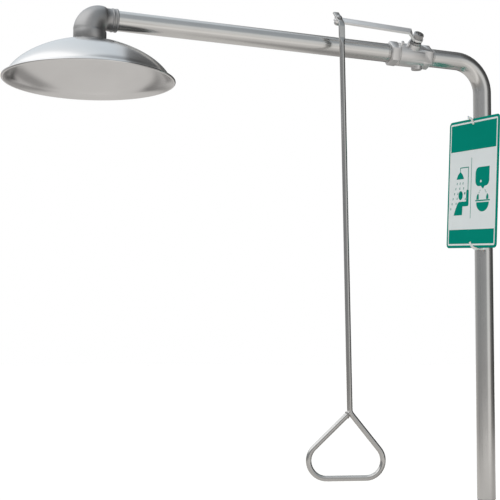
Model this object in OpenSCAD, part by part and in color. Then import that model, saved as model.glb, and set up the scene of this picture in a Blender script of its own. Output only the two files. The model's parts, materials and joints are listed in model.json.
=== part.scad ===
// Overhead emergency safety shower on a bent stainless standpipe.
// Millimetres, +Z up. The origin is the centre of the standpipe's threaded lower end.
// The arm runs towards -X and ends in the shower head, and the valve stem leans towards -Y.

/* [Standpipe and arm] */
// Outside diameter of the standpipe and arm (1 in. pipe)
pipe_od = 33.4; // [31:0.1:35]
// Wall of the standpipe and arm
pipe_wall = 2.8; // [2:0.1:3.6]
// Height of the arm's axis above the standpipe's lower end
arm_h = 830; // [700:5:1200]
// Distance from the standpipe's axis to the shower head's axis
arm_reach = 755; // [600:5:950]
// Centreline radius of the bend at the top of the standpipe
bend_r = 57; // [45:1:75]
// Length of the male pipe thread at the standpipe's lower end
thread_len = 20; // [14:1:26]
// Pitch radius of that thread
thread_r = 15.6; // [14.5:0.1:16.5]

/* [Elbow] */
// Radial thickness of the elbow's collar round the arm
elbow_arm_t = 2.8; // [2.4:0.1:6]
// Radial thickness of the elbow's collar round the head's nipple
elbow_head_t = 5.9; // [4:0.1:8]
// Distance from the arm's axis down to the elbow's head end face
elbow_drop = 38.4; // [32:0.1:45]
// Distance from the head's axis to the elbow's arm end face
elbow_run = 44.5; // [42:0.5:60]
// Extra radius of the elbow's cast belly, halfway round its turn
elbow_belly = 2.4; // [0:0.1:4]

/* [Shower head] */
// Radius of the bowl at its rolled rim
rim_r = 140.8; // [115:0.1:170]
// Drop from the bowl's flat crown to the plane of the rim
bowl_h = 66.5; // [55:0.5:85]
// Sheet thickness of the spun bowl
bowl_t = 1.5; // [1:0.1:2.5]
// Width of the flat flange between the bowl's wall and its rolled bead
flange_w = 3.5; // [0:0.5:8]
// Radius of the rolled bead round the rim
bead_r = 2.2; // [1.6:0.1:3]
// Roundness of the bowl: 2 is an ellipse and less is flatter
bowl_round = 1.65; // [1.4:0.01:2]
// Outside radius of the threaded nipple that hangs the head
nipple_r = 21.1; // [19.5:0.1:22]
// Wall of the nipple
nipple_wall = 3; // [2.5:0.1:4]
// Radius of the deflector disc inside the bowl
deflector_r = 34; // [25:0.5:40]

/* [Valve] */
// Distance from the standpipe's axis to the valve stem's axis
valve_x = 156; // [120:0.5:200]
// Lean of the valve stem from upright, towards -Y
stem_lean = 47; // [30:1:60]
// Radius of the valve's ball
ball_r = 16; // [15:0.1:19]
// Radius of the way through the ball
port_r = 11; // [8:0.1:11.5]
// Radius of the valve stem
stem_r = 5.5; // [4.5:0.1:6.5]

/* [Lever and pull rod] */
// Distance from the stem's axis to the pull rod's pivot bolt
lever_len = 162; // [120:0.5:200]
// Width of the lever strip
lever_w = 16; // [14:0.5:22]
// Thickness of the lever strip
lever_t = 4; // [3:0.5:5]
// Rise of the lever strip above its hub, along the stem
lever_rise = 12; // [8:0.5:20]
// Turn of the closed lever away from the line of the arm
lever_turn = 3; // [0:0.5:8]
// Diameter of the pull rod and of its handle
rod_d = 9.5; // [8:0.1:12]
// Length of the pull rod from its pivot bolt down to its handle
rod_len = 686; // [500:5:800]
// Lean of the hanging rod, because the handle's weight lies to one side
rod_lean = 1.3; // [0:0.1:2]

/* [Pull handle] */
// Drop from the handle's apex to the middle of its bottom bar
handle_drop = 111; // [95:1:150]
// Slope of the handle's leg on the shower head's side
leg_out_slope = 43.5; // [38:0.1:50]
// Slope of the handle's leg on the standpipe's side
leg_in_slope = 52.4; // [42:0.1:60]
// Centreline radius of the handle's lower corners
handle_r = 30; // [18:0.5:32]
// Turn of the handle about the rod, towards the stem's side
handle_twist = 22; // [0:1:30]

/* [Sign] */
// Width of the sign plate
sign_w = 165; // [120:1:200]
// Height of the sign plate
sign_h = 243; // [200:1:300]
// Thickness of the sign plate
sign_t = 2; // [1.5:0.5:4]
// Depth of the sign's middle below the arm's axis
sign_drop = 227.5; // [200:0.5:400]
// Slant of the sign in its own plane
sign_slant = 4; // [0:0.5:5]
// Turn of the sign round the standpipe
sign_turn = 0; // [0:0.5:5]
// Radius of the sign's corners
sign_corner_r = 8; // [3:0.5:12]

/* [Hidden] */
$fn = 64;
// Overlap that joins two shapes of one solid
fuse = 0.2;
// How far a cutting shape runs past the face that it cuts
past = 1;
// Clearance round a thread or a keyed seat, drawn as plain walls
thread_gap = 0.05;
// Radial clearance of a turning fit
run_gap = 0.06;
// Clearance between parts that lie side by side
face_gap = 0.3;

// Pipes
pipe_r = pipe_od / 2;
pipe_in_r = pipe_r - pipe_wall;
rod_r = rod_d / 2;
pipe_grip = 13;
shoulder_w = 1.2;
shoulder_t = 1.6;

// Elbow: its neck turns about a point that lies this far from both axes
elbow_turn = 26;
elbow_parts = 6;
elbow_arm_r = pipe_r + elbow_arm_t;
elbow_head_r = nipple_r + elbow_head_t;
elbow_arm_step = 0.8;
elbow_head_step = 1.5;
elbow_neck_arm = elbow_arm_r - elbow_arm_step;
elbow_neck_head = elbow_head_r - elbow_head_step;
arm_grip = 18;
elbow_socket = elbow_run - arm_grip;
elbow_ring_w = 3.2;
elbow_collar_h = 16;
nipple_grip = 12;

// Shower head, counted down from the elbow's lower face
gasket_t = 1.5;
bowl_top = arm_h - elbow_drop - gasket_t;
rim_z = bowl_top - bowl_h;
bowl_r = rim_r - 2 * bead_r - flange_w + bowl_t;
bowl_hole_depth = 3 * bowl_t;
bowl_steps = 28;
bowl_hole_r = nipple_r + face_gap;
crown_r = elbow_head_r + 2;
locknut_t = 8;
locknut_af = 2 * nipple_r + 6;
nipple_past_nut = 3;
nipple_top = arm_h - elbow_drop + nipple_grip;
nipple_low = bowl_top - bowl_t - locknut_t - nipple_past_nut;
nipple_in_r = nipple_r - nipple_wall;
flow_t = 6;
flow_holes = 6;
flow_hole_r = 3;
flow_pitch_r = 11;
screw_r = 3;
screw_af = 10;
screw_head_t = 4;
spacer_r = 5;
spacer_len = 7;
deflector_t = 2;
deflector_lip = 4;
deflector_z = nipple_low - spacer_len - deflector_t;

// Valve stations along the arm, measured from the stem's axis
wall_t = 3;
seat_wall = 4.2;
seat_r = port_r + seat_wall;
seat_near = ball_r / 2;
seat_t = 6.5;
seat_far = seat_near + seat_t;
ball_room = 1.2;
cavity_r = ball_r + ball_room;
spigot_step = 0.8;
spigot_r = cavity_r + spigot_step;
barrel_r = spigot_r + wall_t;
hex_wall = 2.5;
hex_flat_in = 1.8;
hex_af = 2 * max(pipe_r + hex_wall, barrel_r - hex_flat_in);
hex_turn = 15;
seal_t = 1.5;
seal_in = 1.8;
cap_len = 18;
inlet_shoulder = 18.5;
outlet_shoulder = 11.5;
inlet_half = pipe_grip + seat_far + inlet_shoulder;
outlet_half = pipe_grip + seat_far + outlet_shoulder;
joint_at = -inlet_half + cap_len;
hex_len = 19.4;
stop_low = 12;
boss_r = 13;
boss_low_r = 9.5;
boss_out = 4.2;
boss_at = 14;

// Stem, packing and gland, measured along the stem from the arm's axis
key_w = 6;
key_l = 9;
key_h = 4;
foot_step = 2.5;
foot_r = stem_r + foot_step;
foot_lift = 0.1;
foot_low = ball_r + foot_lift;
foot_t = 2.5;
washer_t = 1;
washer_top = foot_low + foot_t + washer_t;
packing_floor = 2;
packing_low = washer_top + packing_floor;
packing_t = 4;
packing_wall = 3;
packing_r = stem_r + packing_wall;
neck_wall = 3.5;
neck_r = packing_r + neck_wall;
gland_grip = 1.5;
neck_h = packing_low + packing_t + gland_grip;
gland_head_t = 4.5;
gland_af = 2 * packing_r + 4;
hub_lift = 3;
hub_h = neck_h + gland_head_t + hub_lift;
hub_t = lever_t;
spring_washer_t = 1.5;
spring_washer_w = 3;
flat_depth = 1.5;
stem_flat = 2 * (stem_r - flat_depth);
hub_seat_step = 0.3;
thread_step = 1;
lever_nut_t = 7;
lever_nut_af = 2 * stem_r + 6;
stem_past_nut = 1.5;
stem_top = hub_h + hub_t + spring_washer_t + lever_nut_t + stem_past_nut;

// Lever outline, seen along the stem, with the strip's inner end cut on a skew
hub_r = 11;
web_foot = 10;
bend_at = 20;
bend_skew = 4;
strip_h = hub_h + lever_rise;
strip_top = strip_h + lever_t;
pivot_r = 3;
pivot_head_t = 2.4;
pivot_head_r = 5;
pivot_af = 10;
pivot_washer_t = 1;
pivot_washer_r = 5.5;
pivot_nut_t = 5;
bolt_past_nut = 1.5;

// Flattened end of the rod: a flat eye on the strip, folded down past its edge
eye_t = 3.5;
eye_w = 11;
eye_play = 0.1;
eye_up = 18;
fold_y = 1.5;
fold_z = 2;
eye_low = strip_top + face_gap;
eye_out = lever_w / 2 + rod_r + 2.5;
tab_len = 26;
taper_len = 12;
pivot_pos = [-lever_len, 0, eye_low];

// Handle
handle_bend_r = 14;
handle_turn = 90 - leg_in_slope;
handle_start = handle_bend_r * tan(handle_turn / 2);
bend_lap = 0.6;
bend_step = 0.04;

// Sign and cable ties
tie_w = 4.8;
tie_t = 1.4;
tie_slack = 0.2;
tie_r = pipe_r + tie_slack;
tie_mid_r = tie_r + tie_t / 2;
tie_head = [5.5, 8, 7];
tie_head_turn = 35;
tie_side = 12;
tie_root = 1.5;
sign_back = tie_r + tie_t + 2 * tie_slack;
sign_mid_y = 5;
sign_hole_r = 4;
sign_hole_in = 11;
sign_over = 3;

// ---- Helpers ----

// A solid bar along +X from x0 to x1
module x_bar(x0, x1, r) {
    translate([x0, 0, 0]) rotate([0, 90, 0]) cylinder(r = r, h = x1 - x0);
}

// A tube along +X from x0 to x1
module x_tube(x0, x1, outer, inner) {
    difference() {
        x_bar(x0, x1, outer);
        x_bar(x0 - past, x1 + past, inner);
    }
}

// A ring along +Z from z0 to z1
module z_ring(z0, z1, outer, inner) {
    translate([0, 0, z0]) difference() {
        cylinder(r = outer, h = z1 - z0);
        translate([0, 0, -past]) cylinder(r = inner, h = z1 - z0 + 2 * past);
    }
}

// A hexagon bar along +Z, by the distance across its flats
module hex_bar(af, h) {
    cylinder(r = af / 2 / cos(30), h = h, $fn = 6);
}

// A hexagon nut along +Z, with a round hole
module hex_nut(z0, h, af, hole_r) {
    translate([0, 0, z0]) difference() {
        hex_bar(af, h);
        translate([0, 0, -past]) cylinder(r = hole_r, h = h + 2 * past);
    }
}

// Drawn round the arm's axis
module on_arm() {
    translate([0, 0, arm_h]) children();
}

// Drawn round the arm's axis, with X counted from the stem's axis
module on_valve() {
    translate([-valve_x, 0, arm_h]) children();
}

// Drawn round the stem, with Z along it
module on_stem() {
    on_valve() rotate([stem_lean, 0, 0]) children();
}

// Drawn round the lever, which points along -X
module on_lever() {
    on_stem() rotate([0, 0, -lever_turn]) children();
}

// Drawn round the head's upright axis
module on_head() {
    translate([-arm_reach, 0, 0]) children();
}

// Drawn from the pivot bolt, upright again, for the hanging rod
module on_rod() {
    on_lever() translate(pivot_pos) rotate([0, 0, lever_turn]) rotate([-stem_lean, 0, 0])
        children();
}

// ---- Pipework ----

module bend_section(r) {
    translate([-bend_r, 0, arm_h - bend_r]) rotate([90, 0, 0])
        rotate_extrude(angle = 90) translate([bend_r, 0]) circle(r = r);
}

module standpipe() {
    stub_end = -valve_x + outlet_half - pipe_grip;
    color("silver") difference() {
        union() {
            cylinder(r = thread_r, h = thread_len + fuse);
            translate([0, 0, thread_len]) cylinder(r = pipe_r, h = arm_h - bend_r - thread_len);
            bend_section(pipe_r);
            on_arm() x_bar(stub_end, -bend_r, pipe_r);
        }
        translate([0, 0, -past]) cylinder(r = pipe_in_r, h = arm_h - bend_r + past);
        bend_section(pipe_in_r);
        on_arm() x_bar(stub_end - past, -bend_r, pipe_in_r);
    }
}

module arm_pipe() {
    valve_end = -valve_x - inlet_half + pipe_grip;
    color("silver") on_arm() x_tube(-arm_reach + elbow_socket, valve_end, pipe_r, pipe_in_r);
}

// One cross-section of the elbow's neck; part runs from 0 at the head's side to 1 at the arm's
module elbow_disc(part) {
    belly = elbow_belly * sqrt(sin(180 * part));
    r = elbow_neck_head + (elbow_neck_arm - elbow_neck_head) * part + belly;
    translate([elbow_turn, 0, arm_h - elbow_turn]) rotate([0, 90 * part, 0])
        translate([-elbow_turn - belly, 0, 0]) cylinder(r = r, h = fuse, $fn = 40);
}

module elbow_shape() {
    for (i = [0 : elbow_parts - 1]) hull() {
        elbow_disc(i / elbow_parts);
        elbow_disc((i + 1) / elbow_parts);
    }
    translate([0, 0, arm_h - elbow_drop]) cylinder(r = elbow_head_r, h = elbow_collar_h);
    on_arm() x_bar(elbow_turn, elbow_run, elbow_neck_arm);
    on_arm() x_bar(elbow_run - elbow_ring_w, elbow_run, elbow_arm_r);
    on_arm() x_bar(elbow_run - 3 * elbow_ring_w, elbow_run - 2 * elbow_ring_w, elbow_arm_r);
}

// The water's way through the elbow follows its turn
module elbow_way() {
    translate([elbow_turn, 0, arm_h - elbow_turn]) rotate([90, 0, 0]) rotate([0, 0, 90])
        rotate_extrude(angle = 90) translate([elbow_turn, 0]) circle(r = pipe_in_r);
    on_arm() x_bar(elbow_turn, elbow_run, pipe_in_r);
    translate([0, 0, arm_h - elbow_drop]) cylinder(r = pipe_in_r, h = elbow_drop - elbow_turn);
}

module elbow() {
    color("gray") on_head() difference() {
        elbow_shape();
        elbow_way();
        on_arm() x_bar(elbow_socket, elbow_run + past, pipe_r + thread_gap);
        translate([0, 0, arm_h - elbow_drop - past])
            cylinder(r = nipple_r + thread_gap, h = nipple_grip + past);
    }
}

// ---- Shower head ----

module head_nipple() {
    color("silver") on_head() z_ring(nipple_low, nipple_top, nipple_r, nipple_in_r);
}

module head_gasket() {
    color("dimgray") on_head() z_ring(bowl_top, bowl_top + gasket_t, elbow_head_r - 1, bowl_hole_r);
}

// The bowl's wall narrows by this rule up to its flat crown: f is 0 at the rim and 1 at the crown
function bowl_share(f) = pow(1 - pow(f, bowl_round), 1 / bowl_round);
crown_f = bowl_share(crown_r / bowl_r);
// A point of the wall, with closer steps where it turns over at the rim
function bowl_point(i, inset) =
    let (f = crown_f * (1 - cos(90 * i / bowl_steps)))
    [(bowl_r - inset) * bowl_share(f), rim_z + (bowl_h - inset) * f / crown_f];

module bowl_wall() {
    outer = [for (i = [0 : bowl_steps]) bowl_point(i, 0)];
    inner = [for (i = [bowl_steps : -1 : 0]) bowl_point(i, bowl_t)];
    polygon(concat(outer, [[0, bowl_top], [0, bowl_top - bowl_t]], inner));
}

module shower_head() {
    color("gainsboro") on_head() difference() {
        union() {
            rotate_extrude() bowl_wall();
            z_ring(rim_z, rim_z + bowl_t, rim_r - bead_r, bowl_r - bowl_t);
            translate([0, 0, rim_z + bead_r]) rotate_extrude()
                translate([rim_r - bead_r, 0]) circle(r = bead_r);
        }
        translate([0, 0, bowl_top - bowl_hole_depth])
            cylinder(r = bowl_hole_r, h = bowl_hole_depth + past);
    }
}

module head_locknut() {
    color("silver") on_head()
        hex_nut(bowl_top - bowl_t - locknut_t, locknut_t, locknut_af, nipple_r + thread_gap);
}

module flow_control() {
    color("goldenrod") on_head() difference() {
        z_ring(nipple_low, nipple_low + flow_t, nipple_in_r - thread_gap, screw_r + thread_gap);
        for (i = [0 : flow_holes - 1]) rotate([0, 0, i * 360 / flow_holes])
            translate([flow_pitch_r, 0, nipple_low - past])
                cylinder(r = flow_hole_r, h = flow_t + 2 * past);
    }
}

module deflector_spacer() {
    color("silver") on_head()
        z_ring(nipple_low - spacer_len, nipple_low, spacer_r, screw_r + thread_gap);
}

module deflector() {
    color("silver") on_head() union() {
        z_ring(deflector_z, deflector_z + deflector_t, deflector_r, screw_r + thread_gap);
        z_ring(deflector_z, deflector_z + deflector_lip, deflector_r, deflector_r - deflector_t);
    }
}

module deflector_screw() {
    color("silver") on_head() translate([0, 0, deflector_z]) union() {
        translate([0, 0, -screw_head_t / 2])
            cylinder(r = screw_r, h = screw_head_t / 2 + deflector_t + spacer_len + flow_t);
        translate([0, 0, -screw_head_t]) hex_bar(screw_af, screw_head_t);
    }
}

// ---- Ball valve ----

// A hexagon along +X, turned so that a corner faces the side
module x_hex(x0, x1) {
    translate([x0, 0, 0]) rotate([hex_turn, 0, 0]) rotate([0, 90, 0]) hex_bar(hex_af, x1 - x0);
}

module valve_body() {
    color("darkgray") difference() {
        union() {
            on_valve() x_bar(joint_at, outlet_half - hex_len + past, barrel_r);
            on_valve() x_hex(outlet_half - hex_len, outlet_half - shoulder_w);
            on_valve() x_bar(outlet_half - shoulder_w - fuse, outlet_half, pipe_r + shoulder_t);
            on_stem() cylinder(r = neck_r, h = neck_h);
            stop_tabs();
            bottom_boss();
        }
        on_valve() x_bar(joint_at - past, -seat_near, spigot_r);
        on_valve() x_bar(-seat_near - past, seat_near, cavity_r);
        on_valve() x_bar(seat_near - past, seat_far, seat_r + thread_gap);
        on_valve() x_bar(seat_far - past, outlet_half, port_r);
        on_valve() x_bar(outlet_half - pipe_grip, outlet_half + past, pipe_r + thread_gap);
        on_stem() cylinder(r = foot_r + run_gap, h = washer_top);
        on_stem() cylinder(r = stem_r + run_gap, h = neck_h + past);
        on_stem() translate([0, 0, packing_low]) cylinder(r = packing_r + thread_gap, h = neck_h);
    }
}

// Two cast tabs beside the neck
module stop_tabs() {
    tab = [4, 5, neck_h - stop_low];
    on_stem() for (x = [joint_at + 1, -neck_r - tab[0] / 2])
        translate([x, -tab[1] / 2, stop_low]) cube(tab);
}

module bottom_boss() {
    boss_h = barrel_r + boss_out;
    on_valve() translate([boss_at, 0, -boss_h]) cylinder(r1 = boss_low_r, r2 = boss_r, h = boss_h);
}

module valve_end_cap() {
    color("darkgray") on_valve() difference() {
        union() {
            x_bar(-inlet_half, -inlet_half + shoulder_w + fuse, pipe_r + shoulder_t);
            x_hex(-inlet_half + shoulder_w, joint_at - seal_t);
            x_bar(joint_at - seal_t - fuse, -seat_near, spigot_r - thread_gap);
        }
        x_bar(-inlet_half - past, -inlet_half + pipe_grip, pipe_r + thread_gap);
        x_bar(-inlet_half, -seat_near + past, port_r);
        x_bar(-seat_far, -seat_near + past, seat_r + thread_gap);
    }
}

module body_seal() {
    color("white") on_valve() x_tube(joint_at - seal_t, joint_at, barrel_r - seal_in, spigot_r);
}

// A seat ring whose inner face is cut to clear the ball
module seat_ring() {
    difference() {
        x_tube(seat_near, seat_far, seat_r, port_r);
        sphere(r = ball_r + run_gap);
    }
}

module inlet_seat() {
    color("white") on_valve() mirror([1, 0, 0]) seat_ring();
}

module outlet_seat() {
    color("white") on_valve() seat_ring();
}

// The closed ball: its way runs across the arm, square to the stem
module valve_ball() {
    color("silver") on_stem() difference() {
        sphere(r = ball_r);
        rotate([90, 0, 0]) cylinder(r = port_r, h = 2 * (ball_r + past), center = true);
        translate([-ball_r, -key_w / 2 - run_gap, ball_r - key_h])
            cube([2 * ball_r, key_w + 2 * run_gap, key_h + past]);
    }
}

// The end of the stem that the lever's hub sits on, with two flats
module stem_flats(clear, h) {
    size = [2 * (stem_r + past), stem_flat + 2 * clear, h];
    intersection() {
        cylinder(r = stem_r - hub_seat_step + clear, h = h);
        translate([-size[0] / 2, -size[1] / 2, 0]) cube(size);
    }
}

module valve_stem() {
    hub_top = hub_h + hub_t;
    color("silver") union() {
        on_stem() {
            translate([-key_l / 2, -key_w / 2, ball_r - key_h + face_gap]) cube([key_l, key_w, key_h]);
            translate([0, 0, foot_low]) cylinder(r = foot_r, h = foot_t);
            translate([0, 0, foot_low]) cylinder(r = stem_r, h = hub_h - foot_low);
        }
        on_lever() {
            translate([0, 0, hub_h - fuse]) stem_flats(0, hub_t + fuse);
            translate([0, 0, hub_top - fuse])
                cylinder(r = stem_r - thread_step, h = stem_top - hub_top + fuse);
        }
    }
}

module thrust_washer() {
    color("white") on_stem() z_ring(washer_top - washer_t, washer_top, foot_r, stem_r + run_gap);
}

module stem_packing() {
    color("white") on_stem() z_ring(packing_low, packing_low + packing_t, packing_r, stem_r + run_gap);
}

module gland_nut() {
    color("gray") on_stem() difference() {
        union() {
            translate([0, 0, neck_h - gland_grip]) cylinder(r = packing_r, h = gland_grip + fuse);
            translate([0, 0, neck_h]) hex_bar(gland_af, gland_head_t);
        }
        translate([0, 0, packing_low]) cylinder(r = stem_r + run_gap, h = hub_h);
    }
}

// ---- Lever ----

// The strip's outline, with a round outer end about the pivot bolt
module strip_outline() {
    half = lever_w / 2;
    translate([-lever_len, 0]) circle(r = half);
    polygon([[-lever_len, -half], [-bend_at - bend_skew, -half], [-bend_at + bend_skew, half],
        [-lever_len, half]]);
}

// The sloping web between the hub and the strip
module lever_web() {
    half = lever_w / 2;
    hull() {
        translate([-web_foot, -half, hub_h]) cube([past, lever_w, hub_t]);
        translate([0, 0, strip_h]) linear_extrude(lever_t)
            polygon([[-bend_at - bend_skew, -half], [-bend_at - bend_skew + past, -half],
                [-bend_at + bend_skew + past, half], [-bend_at + bend_skew, half]]);
    }
}

module lever() {
    color("lightgray") on_lever() difference() {
        union() {
            translate([0, 0, hub_h]) linear_extrude(hub_t) circle(r = hub_r);
            translate([-web_foot, -lever_w / 2, hub_h]) cube([web_foot, lever_w, hub_t]);
            lever_web();
            translate([0, 0, strip_h]) linear_extrude(lever_t) strip_outline();
        }
        translate([0, 0, hub_h - past]) stem_flats(thread_gap, hub_t + 2 * past);
        translate([-lever_len, 0, strip_h - past]) cylinder(r = pivot_r + run_gap, h = lever_t + 2 * past);
    }
}

module lever_spring_washer() {
    color("gray") on_lever()
        z_ring(hub_h + hub_t, hub_h + hub_t + spring_washer_t, stem_r + spring_washer_w, stem_r);
}

module lever_nut() {
    low = hub_h + hub_t + spring_washer_t;
    color("gray") on_lever()
        hex_nut(low, lever_nut_t, lever_nut_af, stem_r - thread_step + thread_gap);
}

// ---- Pivot ----

lever_low = -face_gap - lever_t;
pivot_head_z = eye_t + eye_play + pivot_washer_t;
pivot_nut_z = lever_low - pivot_washer_t - pivot_nut_t;
pivot_end_z = pivot_nut_z - bolt_past_nut;

module at_pivot() {
    on_lever() translate(pivot_pos) children();
}

module pivot_bolt() {
    color("gray") at_pivot() union() {
        translate([0, 0, pivot_end_z])
            cylinder(r = pivot_r, h = pivot_head_z - pivot_end_z + pivot_head_t / 2);
        translate([0, 0, pivot_head_z]) cylinder(r1 = pivot_head_r, r2 = pivot_r, h = pivot_head_t);
    }
}

module pivot_washers() {
    color("silver") at_pivot() {
        z_ring(eye_t + eye_play, pivot_head_z, pivot_washer_r, pivot_r + thread_gap);
        z_ring(lever_low - pivot_washer_t, lever_low, pivot_washer_r, pivot_r + thread_gap);
    }
}

module pivot_nut() {
    color("gray") at_pivot() hex_nut(pivot_nut_z, pivot_nut_t, pivot_af, pivot_r + thread_gap);
}

// ---- Pull rod and handle ----

// The rod's axis stands this far out from the bolt, level with the folded tab
rod_y = -eye_out * cos(stem_lean) - fold_y;
rod_top_z = -eye_out * sin(stem_lean) + fold_z;
tab_t = 0.9 * rod_r;

// Drawn down the rod's own axis, which leans a little from upright
module down_rod() {
    on_rod() translate([0, rod_y, rod_top_z]) rotate([0, -rod_lean, 0]) children();
}

module pull_rod() {
    shaft_len = rod_len - handle_start + rod_top_z;
    shaft_top = -tab_len - taper_len + past;
    color("silver") difference() {
        union() {
            at_pivot() rotate([0, 0, lever_turn]) {
                translate([-eye_w / 2, -eye_out, 0]) cube([eye_w, eye_out + eye_up, eye_t]);
            }
            down_rod() {
                translate([-eye_w / 2, -tab_t / 2, -tab_len]) cube([eye_w, tab_t, tab_len + eye_t]);
                hull() {
                    translate([-eye_w / 2, -tab_t / 2, -tab_len]) cube([eye_w, tab_t, past]);
                    translate([0, 0, -tab_len - taper_len]) cylinder(r = rod_r, h = past, $fn = 32);
                }
                translate([0, 0, -shaft_len]) cylinder(r = rod_r, h = shaft_len + shaft_top);
            }
        }
        at_pivot() translate([0, 0, -past]) cylinder(r = pivot_r + run_gap, h = eye_t + 2 * past);
    }
}

// A round bend of the handle's wire, about the origin, from one angle to another
module wire_bend(r, from, to) {
    rotate([90, 0, 0]) rotate([0, 0, from]) rotate_extrude(angle = to - from)
        translate([r, 0]) circle(r = rod_r);
}

// A straight of the handle's wire between two points [x, z]: a hair thinner and run into the bends
module wire_run(a, b) {
    d = b - a;
    translate([a[0], 0, a[1]]) rotate([0, atan2(d[0], d[1]), 0])
        translate([0, 0, -bend_lap]) cylinder(r = rod_r - bend_step, h = norm(d) + 2 * bend_lap);
}

// The free end of the outer leg is welded to the apex
module pull_handle() {
    low = -handle_drop;
    out_x = low / tan(leg_out_slope) + handle_r / tan(leg_out_slope / 2);
    in_x = -low / tan(leg_in_slope) - handle_r / tan(leg_in_slope / 2);
    bend_end = [handle_bend_r * (1 - cos(handle_turn)), handle_start - handle_bend_r * sin(handle_turn)];
    in_end = [in_x + handle_r * sin(leg_in_slope), low + handle_r * (1 + cos(leg_in_slope))];
    out_end = [out_x - handle_r * sin(leg_out_slope), low + handle_r * (1 + cos(leg_out_slope))];
    color("silver") down_rod() translate([0, 0, -rod_len - rod_top_z]) rotate([0, 0, -handle_twist]) union() {
        translate([handle_bend_r, 0, handle_start]) wire_bend(handle_bend_r, 180, 180 + handle_turn);
        wire_run(bend_end, in_end);
        translate([in_x, 0, low + handle_r]) wire_bend(handle_r, -90, 90 - leg_in_slope);
        wire_run([in_x, low], [out_x, low]);
        translate([out_x, 0, low + handle_r]) wire_bend(handle_r, 90 + leg_out_slope, 270);
        wire_run(out_end, [0, 0]);
    }
}

// ---- Sign and its ties ----

// Drawn on the sign: X is out of its back, Y across it and Z up it
module on_sign() {
    translate([0, 0, arm_h - sign_drop]) rotate([0, 0, sign_turn]) translate([-sign_back, sign_mid_y, 0])
        rotate([sign_slant, 0, 0]) children();
}

module sign_plate() {
    rim = [sign_w / 2 - sign_corner_r, sign_h / 2 - sign_corner_r];
    color("seagreen") on_sign() difference() {
        rotate([0, -90, 0]) linear_extrude(sign_t) union() {
            square([sign_h, sign_w - 2 * sign_corner_r], center = true);
            square([sign_h - 2 * sign_corner_r, sign_w], center = true);
            for (u = [-1, 1], v = [-1, 1]) translate([u * rim[1], v * rim[0]])
                circle(r = sign_corner_r);
        }
        for (v = [-1, 1]) translate([past, 0, v * (sign_h / 2 - sign_hole_in)]) rotate([0, -90, 0])
            cylinder(r = sign_hole_r, h = sign_t + 2 * past);
    }
}

// The angle from -X to a spot, seen from above
function spot_turn(spot) = atan2(-spot[1], -spot[0]);
// The angle at which a strap from a spot meets the ring; side is 1 or -1
function meet_turn(spot, side) = spot_turn(spot) + side * acos(tie_mid_r / norm([spot[0], spot[1]]));

// A strap of a tie, from just inside the ring's end to a spot behind the sign
module tie_strap(turn, ring_z, spot) {
    hull() {
        rotate([0, 0, turn]) translate([-tie_mid_r, 0, ring_z])
            cube([0.7 * tie_t, fuse, 0.85 * tie_w], center = true);
        translate(spot) cube([tie_t, tie_w, tie_t], center = true);
    }
}

// A tie round the pipe, through the sign's hole and over its edge; up is 1 at the top edge
module cable_tie(up) {
    hole_z = up * (sign_h / 2 - sign_hole_in);
    ring_z = hole_z + up * (sign_hole_in / 2);
    back_x = -sign_back + tie_slack + tie_t / 2;
    front_x = -sign_back - sign_t - face_gap - tie_t / 2;
    hole = [back_x, sign_mid_y - hole_z * sin(sign_slant), hole_z];
    over = [back_x, up * tie_side, up * (sign_h / 2 + sign_over)];
    hole_meet = meet_turn(hole, up);
    over_meet = meet_turn(over, -up);
    color("white") translate([0, 0, arm_h - sign_drop]) rotate([0, 0, sign_turn]) union() {
        translate([0, 0, ring_z]) rotate([0, 0, 180 + max(hole_meet, over_meet)])
            rotate_extrude(angle = 360 - abs(hole_meet - over_meet))
                translate([tie_r, -tie_w / 2]) square([tie_t, tie_w]);
        tie_strap(hole_meet + up * tie_root, ring_z, hole);
        tie_strap(over_meet - up * tie_root, ring_z, over);
        for (spot = [hole, over]) translate([(back_x + front_x) / 2, spot[1], spot[2]])
            cube([back_x - front_x + tie_t, tie_w, tie_t], center = true);
        hull() for (spot = [hole, over]) translate([front_x, spot[1], spot[2]])
            cube([tie_t, tie_w, tie_t], center = true);
        rotate([0, 0, tie_head_turn]) translate([tie_mid_r, -tie_head[1] / 2, ring_z - tie_head[2] / 2])
            cube(tie_head);
    }
}

module cable_tie_top() {
    cable_tie(1);
}

module cable_tie_bottom() {
    cable_tie(-1);
}

standpipe();
arm_pipe();
elbow();
head_nipple();
head_gasket();
shower_head();
head_locknut();
flow_control();
deflector_spacer();
deflector();
deflector_screw();
valve_body();
valve_end_cap();
body_seal();
inlet_seat();
outlet_seat();
valve_ball();
valve_stem();
thrust_washer();
stem_packing();
gland_nut();
lever();
lever_spring_washer();
lever_nut();
pivot_bolt();
pivot_washers();
pivot_nut();
pull_rod();
pull_handle();
sign_plate();
cable_tie_top();
cable_tie_bottom();
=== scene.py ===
"""Finished looks of an overhead emergency safety shower, built round its CAD frame."""
import json
import math

import bmesh
import bpy
from bpy.props import FloatProperty, FloatVectorProperty, IntProperty, PointerProperty
from mathutils import Matrix, Vector


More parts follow.
